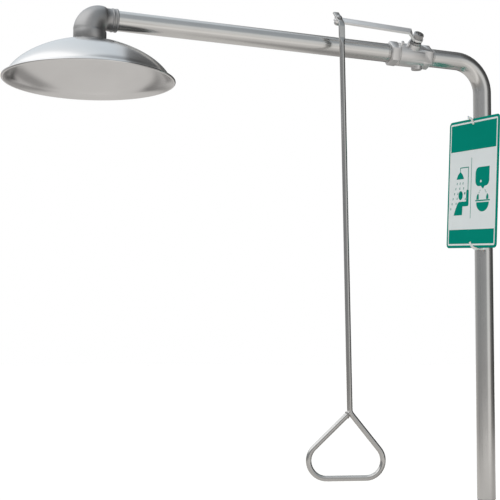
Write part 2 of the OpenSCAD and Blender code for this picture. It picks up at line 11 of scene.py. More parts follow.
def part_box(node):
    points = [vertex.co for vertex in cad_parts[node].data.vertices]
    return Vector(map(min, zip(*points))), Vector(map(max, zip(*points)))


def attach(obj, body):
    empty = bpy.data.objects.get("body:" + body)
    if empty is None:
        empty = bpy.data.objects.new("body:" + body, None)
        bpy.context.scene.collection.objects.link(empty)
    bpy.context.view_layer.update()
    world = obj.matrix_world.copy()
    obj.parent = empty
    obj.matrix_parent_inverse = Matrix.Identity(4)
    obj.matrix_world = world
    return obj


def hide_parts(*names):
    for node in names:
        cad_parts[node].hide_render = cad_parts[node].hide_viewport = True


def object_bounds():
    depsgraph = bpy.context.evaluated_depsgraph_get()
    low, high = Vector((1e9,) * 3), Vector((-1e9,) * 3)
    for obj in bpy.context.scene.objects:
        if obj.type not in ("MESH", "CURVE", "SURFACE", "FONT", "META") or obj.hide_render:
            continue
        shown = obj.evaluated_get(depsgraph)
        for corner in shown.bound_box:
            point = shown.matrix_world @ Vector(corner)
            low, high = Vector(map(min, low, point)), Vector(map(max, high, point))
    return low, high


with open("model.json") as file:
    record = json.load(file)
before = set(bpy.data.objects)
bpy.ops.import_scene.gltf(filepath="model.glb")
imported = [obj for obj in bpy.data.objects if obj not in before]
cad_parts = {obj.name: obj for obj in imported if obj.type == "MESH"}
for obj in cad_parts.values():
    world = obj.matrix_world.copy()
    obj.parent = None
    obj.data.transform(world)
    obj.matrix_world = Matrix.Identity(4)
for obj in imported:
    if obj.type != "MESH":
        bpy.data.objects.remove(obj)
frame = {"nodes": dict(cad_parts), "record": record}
CAD_BOX = [list(corner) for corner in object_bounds()]

bl_info = {
    "name": "Safety shower looks",
    "version": (1, 0, 0),
    "blender": (4, 5, 0),
    "location": "View3D > Sidebar > Shower",
    "description": "Builds the finished pieces of an overhead emergency shower on its CAD frame",
    "category": "Add Mesh",
}

MM = 0.001


# ---- Where the frame says things are, in metres ----

def low(node, axis):
    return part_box(node)[0][axis]


def high(node, axis):
    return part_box(node)[1][axis]


def mid(node, axis):
    return (low(node, axis) + high(node, axis)) / 2


JOINTS = {joint["name"]: joint for joint in frame["record"]["behaviour"]["joints"]}
ARM_Z = mid("arm_pipe", 2)
PIPE_R = (high("arm_pipe", 2) - low("arm_pipe", 2)) / 2
PIPE_IN_R = PIPE_R - 2.8 * MM
HEAD_X = mid("shower_head", 0)
RIM_Z = low("shower_head", 2)
CROWN_Z = high("shower_head", 2)
RIM_R = (high("shower_head", 1) - low("shower_head", 1)) / 2
ELBOW_LOW = low("elbow", 2)
ELBOW_END = high("elbow", 0)
NIPPLE_R = (high("head_nipple", 1) - low("head_nipple", 1)) / 2
VALVE = Vector(JOINTS["lever_turn"]["pos_m"])
STEM = Vector(JOINTS["lever_turn"]["axis"]).normalized()
PIVOT = Vector(JOINTS["rod_pivot"]["pos_m"])
VALVE_OUT = high("valve_body", 0)
VALVE_IN = low("valve_end_cap", 0)
THREAD_LEN = 20 * MM
BEND_R = 57 * MM


# ---- Sizes and finishes that a user may change ----

class ShowerSizes(bpy.types.PropertyGroup):
    bowl_round: FloatProperty(name="Bowl roundness", description="2 is an ellipse and less is flatter",
                              default=1.65, min=1.3, max=2.2)
    flange: FloatProperty(name="Rim flange", description="Flat width between the bowl's wall and its bead",
                          default=3.5 * MM, unit="LENGTH")
    bead: FloatProperty(name="Rim bead", description="Radius of the rolled bead",
                        default=2.2 * MM, unit="LENGTH")
    sheet: FloatProperty(name="Bowl sheet", description="Thickness of the spun sheet",
                         default=1.5 * MM, unit="LENGTH")
    thread_pitch: FloatProperty(name="Thread pitch", description="Rise of one turn of the pipe thread",
                                default=2.21 * MM, unit="LENGTH")
    rod_radius: FloatProperty(name="Rod radius", description="Radius of the pull rod and its handle",
                              default=4.75 * MM, unit="LENGTH")
    rod_lean: FloatProperty(name="Rod lean", description="Lean of the hanging rod",
                            default=math.radians(1.3), subtype="ANGLE")
    weld: FloatProperty(name="Weld bead", description="Radius of one ripple of the weld",
                        default=1.5 * MM, unit="LENGTH")
    ease: FloatProperty(name="Edge easing", description="Width of the eased edge of a cast or cut piece",
                        default=0.5 * MM, unit="LENGTH")
    round_steps: IntProperty(name="Round steps", description="Faces round a turned piece",
                             default=96, min=24, max=256)


class ShowerFinish(bpy.types.PropertyGroup):
    pipe: FloatVectorProperty(name="Pipe steel", description="Satin tube", subtype="COLOR",
                              default=(0.68, 0.68, 0.67), min=0, max=1)
    bowl: FloatVectorProperty(name="Bowl steel", description="Spun sheet", subtype="COLOR",
                              default=(0.74, 0.74, 0.74), min=0, max=1)
    cast: FloatVectorProperty(name="Cast steel", description="Elbow and valve", subtype="COLOR",
                              default=(0.42, 0.42, 0.42), min=0, max=1)
    lever: FloatVectorProperty(name="Lever steel", description="Flat strip", subtype="COLOR",
                               default=(0.95, 0.95, 0.95), min=0, max=1)
    bolt: FloatVectorProperty(name="Fastener steel", description="Nuts, bolts and washers", subtype="COLOR",
                              default=(0.42, 0.42, 0.42), min=0, max=1)
    sign: FloatVectorProperty(name="Sign green", description="Printed field of the sign", subtype="COLOR",
                              default=(0.003, 0.30, 0.225), min=0, max=1)
    panel: FloatVectorProperty(name="Sign panel", description="Light middle of the sign", subtype="COLOR",
                               default=(0.90, 0.97, 0.98), min=0, max=1)
    tie: FloatVectorProperty(name="Tie nylon", description="Natural nylon", subtype="COLOR",
                             default=(0.86, 0.86, 0.84), min=0, max=1)


# ---- Meshes ----

def finish_mesh(bm, name, materials, angle=35):
    """Turns a closed shell outwards, smooths it up to sharp edges and makes it a mesh."""
    if bm.calc_volume(signed=True) < 0:
        bmesh.ops.reverse_faces(bm, faces=bm.faces)
    mesh = bpy.data.meshes.new(name)
    bm.to_mesh(mesh)
    bm.free()
    for material in materials:
        mesh.materials.append(material)
    mesh.shade_smooth()
    mesh.set_sharp_from_angle(angle=math.radians(angle))
    return mesh


def place_piece(mesh, name, body, slot=None, replaces=()):
    """Links a finished mesh as a piece that rides on a CAD body."""
    piece = bpy.data.objects.new(name, mesh)
    bpy.context.scene.collection.objects.link(piece)
    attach(piece, body)
    if replaces:
        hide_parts(*replaces)
    return piece


def loft(bm, rings, loop=False, uv_scale=1.0):
    """Skins a list of rings of equal count. loop joins the last ring to the first one.
    The UV map runs in metres, U along the loft and V round it."""
    layer = bm.loops.layers.uv.verify()
    rows = [[bm.verts.new(p) for p in ring] for ring in rings]
    count = len(rings[0])
    run = [0.0]
    for a, b in zip(rings, rings[1:] + rings[:1]):
        run.append(run[-1] + (sum(a, Vector()) / count - sum(b, Vector()) / count).length
                   + abs((a[0] - a[count // 2]).length - (b[0] - b[count // 2]).length) / 2)
    round_len = max((ring[0] - ring[count // 2]).length for ring in rings) * math.pi
    for i in range(len(rings) if loop else len(rings) - 1):
        a, b = rows[i], rows[(i + 1) % len(rings)]
        for j in range(count):
            k = (j + 1) % count
            face = bm.faces.new((a[j], a[k], b[k], b[j]))
            marks = [(run[i], j), (run[i], j + 1), (run[i + 1], j + 1), (run[i + 1], j)]
            for corner, (u, v) in zip(face.loops, marks):
                corner[layer].uv = (u * uv_scale, v / count * round_len * uv_scale)
    if not loop:
        bm.faces.new(rows[0][::-1])
        bm.faces.new(rows[-1])
    return rows


def circle(centre, across, up, radius, count):
    return [centre + (across * math.cos(t) + up * math.sin(t)) * radius
            for t in (2 * math.pi * i / count for i in range(count))]


def turned(bm, profile, centre, steps):
    """A closed profile [(radius, height)] turned round +Z. It has no point on the axis."""
    rings = [circle(centre + Vector((0, 0, z)), Vector((1, 0, 0)), Vector((0, 1, 0)), r, steps)
             for r, z in profile]
    loft(bm, rings, loop=True)


def eased_copy(node, name, materials, width, angle=30, segments=2):
    """A copy of a CAD node's shape with its sharp edges eased."""
    bm = bmesh.new()
    bm.from_mesh(frame["nodes"][node].data)
    bmesh.ops.remove_doubles(bm, verts=bm.verts, dist=1e-6)
    bmesh.ops.dissolve_limit(bm, angle_limit=math.radians(0.6), verts=bm.verts, edges=bm.edges)
    mesh = bpy.data.meshes.new(name)
    bm.to_mesh(mesh)
    bm.free()
    mesh.materials.clear()
    for material in materials:
        mesh.materials.append(material)
    for polygon in mesh.polygons:
        polygon.material_index = 0
    draft = bpy.data.objects.new(name, mesh)
    bpy.context.scene.collection.objects.link(draft)
    ease = draft.modifiers.new("Ease", "BEVEL")
    ease.width = width
    ease.segments = segments
    ease.limit_method = "ANGLE"
    ease.angle_limit = math.radians(angle)
    ease.use_clamp_overlap = True
    made = plain_mesh(draft, name)
    made.shade_smooth()
    made.set_sharp_from_angle(angle=math.radians(32))
    return made


def plain_mesh(draft, name):
    """The evaluated shape of a draft object as a plain mesh. The draft is removed."""
    graph = bpy.context.evaluated_depsgraph_get()
    mesh = bpy.data.meshes.new_from_object(draft.evaluated_get(graph), depsgraph=graph)
    mesh.name = name
    source = draft.data
    bpy.data.objects.remove(draft)
    if source.users == 0:
        (bpy.data.curves if isinstance(source, bpy.types.Curve) else bpy.data.meshes).remove(source)
    return mesh


def prism(bm, points, near, far, place, index=0):
    """A flat outline [(across, up)] given a thickness, put in place by a matrix."""
    front = [bm.verts.new(place @ Vector((near, x, y))) for x, y in points]
    back = [bm.verts.new(place @ Vector((far, x, y))) for x, y in points]
    faces = [bm.faces.new(front), bm.faces.new(back[::-1])]
    for i in range(len(points)):
        k = (i + 1) % len(points)
        faces.append(bm.faces.new((front[i], back[i], back[k], front[k])))
    for face in faces:
        face.material_index = index
    bmesh.ops.recalc_face_normals(bm, faces=faces)


# ---- Geometry Nodes ----

def add_node(tree, kind, links=None, **settings):
    """Adds a node with its settings, and links its inputs or gives them their values."""
    made = tree.nodes.new(kind)
    for key, value in settings.items():
        setattr(made, key, value)
    for key, value in (links or {}).items():
        if isinstance(value, bpy.types.NodeSocket):
            tree.links.new(value, made.inputs[key])
        else:
            made.inputs[key].default_value = value
    return made


class Tree:
    """A node tree that is built by short calls."""

    def __init__(self, name, kind="GeometryNodeTree"):
        self.tree = bpy.data.node_groups.new(name, kind)
        self.ins = self.tree.nodes.new("NodeGroupInput")
        self.outs = self.tree.nodes.new("NodeGroupOutput")

    def socket(self, name, kind, way="INPUT", default=None):
        made = self.tree.interface.new_socket(name=name, in_out=way, socket_type="NodeSocket" + kind)
        if default is not None:
            made.default_value = default

    def node(self, kind, links=None, **settings):
        return add_node(self.tree, kind, links, **settings)

    def math(self, operation, a, b=0.0, c=0.0):
        return self.node("ShaderNodeMath", {0: a, 1: b, 2: c}, operation=operation).outputs[0]

    def out(self, name, value):
        self.tree.links.new(value, self.outs.inputs[name])


def grow(tree, name, values, source=None):
    """Runs a geometry tree on an object and returns its result as a plain mesh."""
    draft = bpy.data.objects.new(name, source or bpy.data.meshes.new(name))
    bpy.context.scene.collection.objects.link(draft)
    modifier = draft.modifiers.new("Grow", "NODES")
    modifier.node_group = tree
    for item in tree.interface.items_tree:
        if item.item_type == "SOCKET" and item.in_out == "INPUT" and item.name in values:
            modifier[item.identifier] = values[item.name]
    return plain_mesh(draft, name)


def thread_tree():
    """Ridges of a screw thread: a spiral swept with a small triangle."""
    t = Tree("thread_ridges")
    t.socket("Geometry", "Geometry")
    t.socket("Radius", "Float", default=15.2 * MM)
    t.socket("Pitch", "Float", default=2.21 * MM)
    t.socket("Turns", "Float", default=8.0)
    t.socket("Ridge", "Float", default=0.7 * MM)
    t.socket("Finish", "Material")
    t.socket("Geometry", "Geometry", "OUTPUT")
    i = t.ins.outputs
    spiral = t.node("GeometryNodeCurveSpiral", {
        "Resolution": 48, "Rotations": i["Turns"], "Start Radius": i["Radius"], "End Radius": i["Radius"],
        "Height": t.math("MULTIPLY", i["Turns"], i["Pitch"])})
    ridge = t.node("GeometryNodeCurvePrimitiveCircle", {"Resolution": 3, "Radius": i["Ridge"]})
    swept = t.node("GeometryNodeCurveToMesh", {
        "Curve": spiral.outputs[0], "Profile Curve": ridge.outputs["Curve"], "Fill Caps": True})
    real = t.node("GeometryNodeRealizeInstances", {0: swept.outputs[0]})
    done = t.node("GeometryNodeSetMaterial", {0: real.outputs[0], "Material": i["Finish"]})
    t.out("Geometry", done.outputs[0])
    return t.tree


def wire_tree():
    """Round wire along a path."""
    t = Tree("bent_wire")
    t.socket("Geometry", "Geometry")
    t.socket("Radius", "Float", default=4.75 * MM)
    t.socket("Sides", "Int", default=32)
    t.socket("Finish", "Material")
    t.socket("Geometry", "Geometry", "OUTPUT")
    i = t.ins.outputs
    section = t.node("GeometryNodeCurvePrimitiveCircle", {"Resolution": i["Sides"], "Radius": i["Radius"]})
    swept = t.node("GeometryNodeCurveToMesh", {
        "Curve": i["Geometry"], "Profile Curve": section.outputs["Curve"], "Fill Caps": True})
    real = t.node("GeometryNodeRealizeInstances", {0: swept.outputs[0]})
    done = t.node("GeometryNodeSetMaterial", {0: real.outputs[0], "Material": i["Finish"]})
    t.out("Geometry", done.outputs[0])
    return t.tree


def bead_tree():
    """Overlapping ripples along a path, such as a weld or the teeth of a strap."""
    t = Tree("ripples_on_path")
    t.socket("Geometry", "Geometry")
    t.socket("Spacing", "Float", default=1.0 * MM)
    t.socket("Size", "Vector", default=(1 * MM, 1 * MM, 1 * MM))
    t.socket("Finish", "Material")
    t.socket("Geometry", "Geometry", "OUTPUT")
    i = t.ins.outputs
    points = t.node("GeometryNodeCurveToPoints", {"Curve": i["Geometry"], "Length": i["Spacing"]},
                    mode="LENGTH")
    ball = t.node("GeometryNodeMeshUVSphere", {"Segments": 12, "Rings": 8, "Radius": 1.0})
    put = t.node("GeometryNodeInstanceOnPoints", {
        "Points": points.outputs["Points"], "Instance": ball.outputs["Mesh"],
        "Rotation": points.outputs["Rotation"], "Scale": i["Size"]})
    real = t.node("GeometryNodeRealizeInstances", {0: put.outputs[0]})
    done = t.node("GeometryNodeSetMaterial", {0: real.outputs[0], "Material": i["Finish"]})
    t.out("Geometry", done.outputs[0])
    return t.tree


def nut_tree():
    """A hexagon nut or bolt head with the corners of its outer face chamfered."""
    t = Tree("chamfered_hexagon")
    t.socket("Geometry", "Geometry")
    t.socket("Across Flats", "Float", default=17 * MM)
    t.socket("Height", "Float", default=7 * MM)
    t.socket("Hole", "Float", default=4.5 * MM)
    t.socket("Finish", "Material")
    t.socket("Geometry", "Geometry", "OUTPUT")
    i = t.ins.outputs
    corner = t.math("DIVIDE", i["Across Flats"], 2 * math.cos(math.radians(30)))
    flat = t.math("MULTIPLY", i["Across Flats"], 0.49)
    wide = t.math("MULTIPLY_ADD", i["Height"], 1 / math.tan(math.radians(28)), flat)
    half = t.math("MULTIPLY", i["Height"], 0.5)
    middle = t.node("ShaderNodeCombineXYZ", {"Z": half})
    hexagon = t.node("GeometryNodeMeshCylinder", {"Vertices": 6, "Radius": corner, "Depth": i["Height"]})
    lifted = t.node("GeometryNodeTransform", {0: hexagon.outputs[0], "Translation": middle.outputs[0]})
    cone = t.node("GeometryNodeMeshCone", {
        "Vertices": 96, "Radius Top": flat, "Radius Bottom": wide, "Depth": i["Height"]})
    cut = t.node("GeometryNodeMeshBoolean", operation="INTERSECT")
    cut.solver = "EXACT"
    t.tree.links.new(lifted.outputs[0], cut.inputs[1])
    t.tree.links.new(cone.outputs[0], cut.inputs[1])
    drill = t.node("GeometryNodeMeshCylinder", {
        "Vertices": 48, "Radius": i["Hole"], "Depth": t.math("MULTIPLY", i["Height"], 3.0)})
    bored = t.node("GeometryNodeMeshBoolean", {0: cut.outputs[0]}, operation="DIFFERENCE")
    bored.solver = "EXACT"
    t.tree.links.new(drill.outputs[0], bored.inputs[1])
    real = t.node("GeometryNodeRealizeInstances", {0: bored.outputs[0]})
    done = t.node("GeometryNodeSetMaterial", {0: real.outputs[0], "Material": i["Finish"]})
    t.out("Geometry", done.outputs[0])
    return t.tree


TREES = {}


def tree(maker):
    """The node tree of a maker, which is made once."""
    if maker.__name__ not in TREES:
        TREES[maker.__name__] = maker()
    return TREES[maker.__name__]


# ---- Finishes ----

def grain_group():
    """Fine drawn lines, stretched along one axis, with soft handling marks over them."""
    t = Tree("drawn_grain", "ShaderNodeTree")
    t.socket("Vector", "Vector")
    t.socket("Across", "Vector", default=(1.0, 1.0, 1.0))
    t.socket("Fineness", "Float", default=900.0)
    t.socket("Marks", "Float", default=14.0)
    t.socket("Rough Low", "Float", default=0.25)
    t.socket("Rough High", "Float", default=0.4)
    t.socket("Roughness", "Float", "OUTPUT")
    t.socket("Height", "Float", "OUTPUT")
    t.socket("Tone", "Float", "OUTPUT")
    i = t.ins.outputs
    stretched = t.node("ShaderNodeVectorMath", {0: i["Vector"], 1: i["Across"]}, operation="MULTIPLY")
    lines = t.node("ShaderNodeTexNoise", {
        "Vector": stretched.outputs[0], "Scale": i["Fineness"], "Detail": 4.0, "Roughness": 0.6})
    marks = t.node("ShaderNodeTexNoise", {
        "Vector": i["Vector"], "Scale": i["Marks"], "Detail": 5.0, "Roughness": 0.55})
    both = t.math("MULTIPLY_ADD", marks.outputs[0], 0.6, t.math("MULTIPLY", lines.outputs[0], 0.4))
    rough = t.node("ShaderNodeMapRange", {
        "Value": both, "From Min": 0.3, "From Max": 0.7, "To Min": i["Rough Low"], "To Max": i["Rough High"]})
    t.out("Roughness", rough.outputs[0])
    t.out("Height", lines.outputs[0])
    t.out("Tone", both)
    return t.tree


def pebble_group():
    """The fine pebbled skin of a blasted casting or a moulded plastic."""
    t = Tree("pebbled_skin", "ShaderNodeTree")
    t.socket("Vector", "Vector")
    t.socket("Grain", "Float", default=1400.0)
    t.socket("Patches", "Float", default=40.0)
    t.socket("Rough Low", "Float", default=0.35)
    t.socket("Rough High", "Float", default=0.5)
    t.socket("Roughness", "Float", "OUTPUT")
    t.socket("Height", "Float", "OUTPUT")
    t.socket("Tone", "Float", "OUTPUT")
    i = t.ins.outputs
    grain = t.node("ShaderNodeTexVoronoi", {"Vector": i["Vector"], "Scale": i["Grain"]})
    patches = t.node("ShaderNodeTexNoise", {
        "Vector": i["Vector"], "Scale": i["Patches"], "Detail": 6.0, "Roughness": 0.6})
    rough = t.node("ShaderNodeMapRange", {
        "Value": patches.outputs[0], "From Min": 0.3, "From Max": 0.7,
        "To Min": i["Rough Low"], "To Max": i["Rough High"]})
    t.out("Roughness", rough.outputs[0])
    t.out("Height", t.math("MULTIPLY_ADD", patches.outputs[0], 0.5, grain.outputs["Distance"]))
    t.out("Tone", patches.outputs[0])
    return t.tree


FINISHES = {}


def finish(name, colour, maker, values, metallic=1.0, vary=0.12, bump=0.02, depth=0.02 * MM,
           coords="Object", **shader):
    """A procedural material: a skin group drives its colour, roughness and bump."""
    if name in FINISHES:
        return FINISHES[name]
    material = bpy.data.materials.new(name)
    material.use_nodes = True
    nodes, links = material.node_tree.nodes, material.node_tree.links
    principled = nodes["Principled BSDF"]
    place = nodes.new("ShaderNodeTexCoord")
    skin = nodes.new("ShaderNodeGroup")
    skin.node_tree = tree(maker)
    links.new(place.outputs[coords], skin.inputs["Vector"])
    for key, value in values.items():
        skin.inputs[key].default_value = value
    ramp = nodes.new("ShaderNodeValToRGB")
    ramp.color_ramp.elements[0].position = 0.3
    ramp.color_ramp.elements[1].position = 0.7
    ramp.color_ramp.elements[0].color = [c * (1 - vary) for c in colour] + [1]
    ramp.color_ramp.elements[1].color = [min(1, c * (1 + vary)) for c in colour] + [1]
    links.new(skin.outputs["Tone"], ramp.inputs[0])
    links.new(ramp.outputs[0], principled.inputs["Base Color"])
    links.new(skin.outputs["Roughness"], principled.inputs["Roughness"])
    raised = nodes.new("ShaderNodeBump")
    raised.inputs["Strength"].default_value = bump
    raised.inputs["Distance"].default_value = depth
    links.new(skin.outputs["Height"], raised.inputs["Height"])
    links.new(raised.outputs[0], principled.inputs["Normal"])
    principled.inputs["Metallic"].default_value = metallic
    for key, value in shader.items():
        principled.inputs[key.replace("_", " ")].default_value = value
    material.diffuse_color = list(colour) + [1]
    FINISHES[name] = material
    return material


def pipe_steel():
    return finish("pipe_steel", bpy.context.scene.shower_finish.pipe, grain_group,
                  {"Across": (0.02, 1.0, 1.0), "Fineness": 1500.0, "Marks": 18.0,
                   "Rough Low": 0.19, "Rough High": 0.23}, vary=0.04, bump=0.06, coords="UV")


def bowl_steel():
    return finish("bowl_steel", bpy.context.scene.shower_finish.bowl, grain_group,
                  {"Across": (1.0, 0.012, 1.0), "Fineness": 1300.0, "Marks": 10.0,
                   "Rough Low": 0.16, "Rough High": 0.24}, vary=0.05, bump=0.15, coords="UV")


def cast_steel():
    return finish("cast_steel", bpy.context.scene.shower_finish.cast, pebble_group,
                  {"Grain": 1500.0, "Patches": 60.0, "Rough Low": 0.34, "Rough High": 0.44},
                  vary=0.08, bump=0.2)


def valve_steel():
    paler = [min(1, 1.75 * c) for c in bpy.context.scene.shower_finish.cast]
    return finish("valve_steel", paler, pebble_group,
                  {"Grain": 1500.0, "Patches": 60.0, "Rough Low": 0.34, "Rough High": 0.44},
                  vary=0.06, bump=0.2)


def lever_steel():
    return finish("lever_steel", bpy.context.scene.shower_finish.lever, grain_group,
                  {"Across": (0.03, 1.0, 1.0), "Fineness": 1600.0, "Marks": 40.0,
                   "Rough Low": 0.42, "Rough High": 0.50}, vary=0.04, bump=0.08)


def rod_steel():
    return finish("rod_steel", [0.82 * c for c in bpy.context.scene.shower_finish.pipe], grain_group,
                  {"Across": (1.0, 1.0, 0.03), "Fineness": 1800.0, "Marks": 30.0,
                   "Rough Low": 0.15, "Rough High": 0.20}, vary=0.04, bump=0.03)


def bolt_steel():
    return finish("bolt_steel", bpy.context.scene.shower_finish.bolt, grain_group,
                  {"Fineness": 1400.0, "Marks": 120.0, "Rough Low": 0.08, "Rough High": 0.14}, bump=0.05)


def ball_steel():
    return finish("polished_steel", (0.75, 0.75, 0.76), grain_group,
                  {"Fineness": 900.0, "Marks": 80.0, "Rough Low": 0.04, "Rough High": 0.09}, vary=0.03)


def weld_steel():
    return finish("weld_steel", (0.40, 0.39, 0.38), pebble_group,
                  {"Grain": 1200.0, "Patches": 300.0, "Rough Low": 0.3, "Rough High": 0.5}, bump=0.3)


def brass():
    return finish("brass", (0.62, 0.43, 0.16), grain_group,
                  {"Fineness": 1200.0, "Marks": 90.0, "Rough Low": 0.2, "Rough High": 0.35})


def rubber():
    return finish("gasket_rubber", (0.03, 0.03, 0.03), pebble_group,
                  {"Grain": 1800.0, "Patches": 90.0, "Rough Low": 0.6, "Rough High": 0.8}, metallic=0.0)


def ptfe():
    return finish("ptfe", (0.85, 0.85, 0.83), pebble_group,
                  {"Grain": 1800.0, "Patches": 120.0, "Rough Low": 0.4, "Rough High": 0.55},
                  metallic=0.0, vary=0.03)


def sign_green():
    return finish("sign_plastic", bpy.context.scene.shower_finish.sign, pebble_group,
                  {"Grain": 900.0, "Patches": 25.0, "Rough Low": 0.45, "Rough High": 0.55},
                  metallic=0.0, vary=0.03, bump=0.06, Specular_IOR_Level=0.0)


def sign_white():
    return finish("sign_print_white", (0.95, 0.99, 0.99), pebble_group,
                  {"Grain": 900.0, "Patches": 25.0, "Rough Low": 0.3, "Rough High": 0.4},
                  metallic=0.0, vary=0.02, bump=0.05, Specular_IOR_Level=0.1)


def sign_panel():
    return finish("sign_print_grey", bpy.context.scene.shower_finish.panel, pebble_group,
                  {"Grain": 900.0, "Patches": 25.0, "Rough Low": 0.3, "Rough High": 0.4},
                  metallic=0.0, vary=0.02, bump=0.05, Specular_IOR_Level=0.1)


def tie_nylon():
    return finish("tie_nylon", bpy.context.scene.shower_finish.tie, pebble_group,
                  {"Grain": 1500.0, "Patches": 80.0, "Rough Low": 0.35, "Rough High": 0.5},
                  metallic=0.0, vary=0.03, bump=0.1, Subsurface_Weight=0.2, Subsurface_Scale=0.002)


def dress(node, material):
    """Gives a CAD node that stays in view its finish."""
    shown = frame["nodes"][node]
    for slot in shown.material_slots:
        slot.material = material


# ---- Stage ----

CAMERA_AT = Vector((-1.17233, -1.73078, 0.30389))
CAMERA_AIM = ((0.92647, -0.37632, 0.00650), (-0.03728, -0.07456, 0.99652), (-0.37453, -0.92348, -0.08311))
LENS = 79.2
FLOOR_HALF = 14.0
FLOOR_GAP = 0.5 * MM

# What a level surface mirrors all round, from one side by way of the camera's side to the other
LEVEL_TONES = [(0.0, (0.62, 0.62, 0.62)), (0.14, (0.46, 0.46, 0.46)), (0.23, (0.30, 0.305, 0.31)),
               (0.42, (0.31, 0.315, 0.32)), (0.54, (0.37, 0.375, 0.38)), (0.585, (0.80, 0.80, 0.79)),
               (0.65, (0.76, 0.76, 0.75)), (0.69, (0.17, 0.17, 0.17)), (0.80, (0.06, 0.06, 0.06)),
               (0.95, (0.07, 0.07, 0.07)), (1.0, (0.12, 0.12, 0.12))]


# The level directions across the stage and toward its front
ACROSS, TOWARD = (0.926, -0.376, 0.0), (-0.376, -0.926, 0.0)


def stage_nodes(tree):
    """Short calls for the stage's trees: a node, a colour ramp, a dot product and a share of a full turn."""
    def node(kind, links=None, **settings):
        return add_node(tree, kind, links, **settings)

    def ramp(value, stops):
        made = node("ShaderNodeValToRGB", {0: value})
        bar = made.color_ramp
        for spot, (position, colour) in zip(bar.elements, (stops[0], stops[-1])):
            spot.position, spot.color = position, tuple(colour) + (1,)
        for position, colour in stops[1:-1]:
            bar.elements.new(position).color = tuple(colour) + (1,)
        return made.outputs[0]

    def along(value, way):
        return node("ShaderNodeVectorMath", {0: value, 1: way}, operation="DOT_PRODUCT").outputs["Value"]

    def turn_share(across, toward):
        turn = node("ShaderNodeMath", {0: across, 1: toward}, operation="ARCTAN2")
        return node("ShaderNodeMath", {0: turn.outputs[0], 1: 1 / (2 * math.pi), 2: 0.5},
                    operation="MULTIPLY_ADD").outputs[0]

    return node, ramp, along, turn_share


def studio_world():
    """A plain soft studio: pale all round, with a darker side to the right and behind."""
    world = bpy.data.worlds.new("studio")
    bpy.context.scene.world = world
    world.use_nodes = True
    world.node_tree.nodes.clear()
    node, ramp, along, turn_share = stage_nodes(world.node_tree)
    way = node("ShaderNodeTexCoord").outputs["Generated"]
    right, back = along(way, ACROSS), along(way, TOWARD)
    rise = node("ShaderNodeSeparateXYZ", {0: way}).outputs["Z"]
    level = ramp(turn_share(right, back), LEVEL_TONES)
    slant = node("ShaderNodeMath", {0: back, 1: -0.6, 2: right}, operation="MULTIPLY_ADD")
    over_at = node("ShaderNodeMapRange", {"Value": slant.outputs[0], "From Min": -1.0, "From Max": 1.0})
    over = ramp(over_at.outputs[0], [
        (0.0, (1.45, 1.45, 1.45)), (0.32, (1.35, 1.35, 1.36)), (0.40, (0.98, 1.01, 1.04)),
        (0.50, (0.86, 0.91, 0.95)), (0.70, (0.72, 0.78, 0.83)), (0.75, (0.70, 0.73, 0.76)),
        (0.765, (0.22, 0.225, 0.23)), (0.85, (0.14, 0.14, 0.14)), (1.0, (0.11, 0.11, 0.11))])
    facing = node("ShaderNodeMath", {0: back, 1: 0.8, 2: right}, operation="MULTIPLY_ADD")
    dimmer = node("ShaderNodeMapRange", {"Value": facing.outputs[0], "From Min": 0.2, "From Max": 0.4,
                                         "To Min": 1.0, "To Max": 0.55})
    dim = node("ShaderNodeVectorMath", {0: over, 3: dimmer.outputs[0]}, operation="SCALE")
    climb = node("ShaderNodeMapRange", {"Value": rise, "From Min": 0.26, "From Max": 0.48})
    seen = node("ShaderNodeMix", {0: climb.outputs[0], 6: level, 7: dim.outputs[0]}, data_type="RGBA")
    direct = node("ShaderNodeLightPath").outputs["Is Camera Ray"]
    shown = node("ShaderNodeMix", {0: direct, 6: seen.outputs[2], 7: (1.0, 1.0, 1.0, 1.0)}, data_type="RGBA")
    light = node("ShaderNodeBackground", {"Color": shown.outputs[2], "Strength": 1.0})
    node("ShaderNodeOutputWorld", {0: light.outputs[0]})


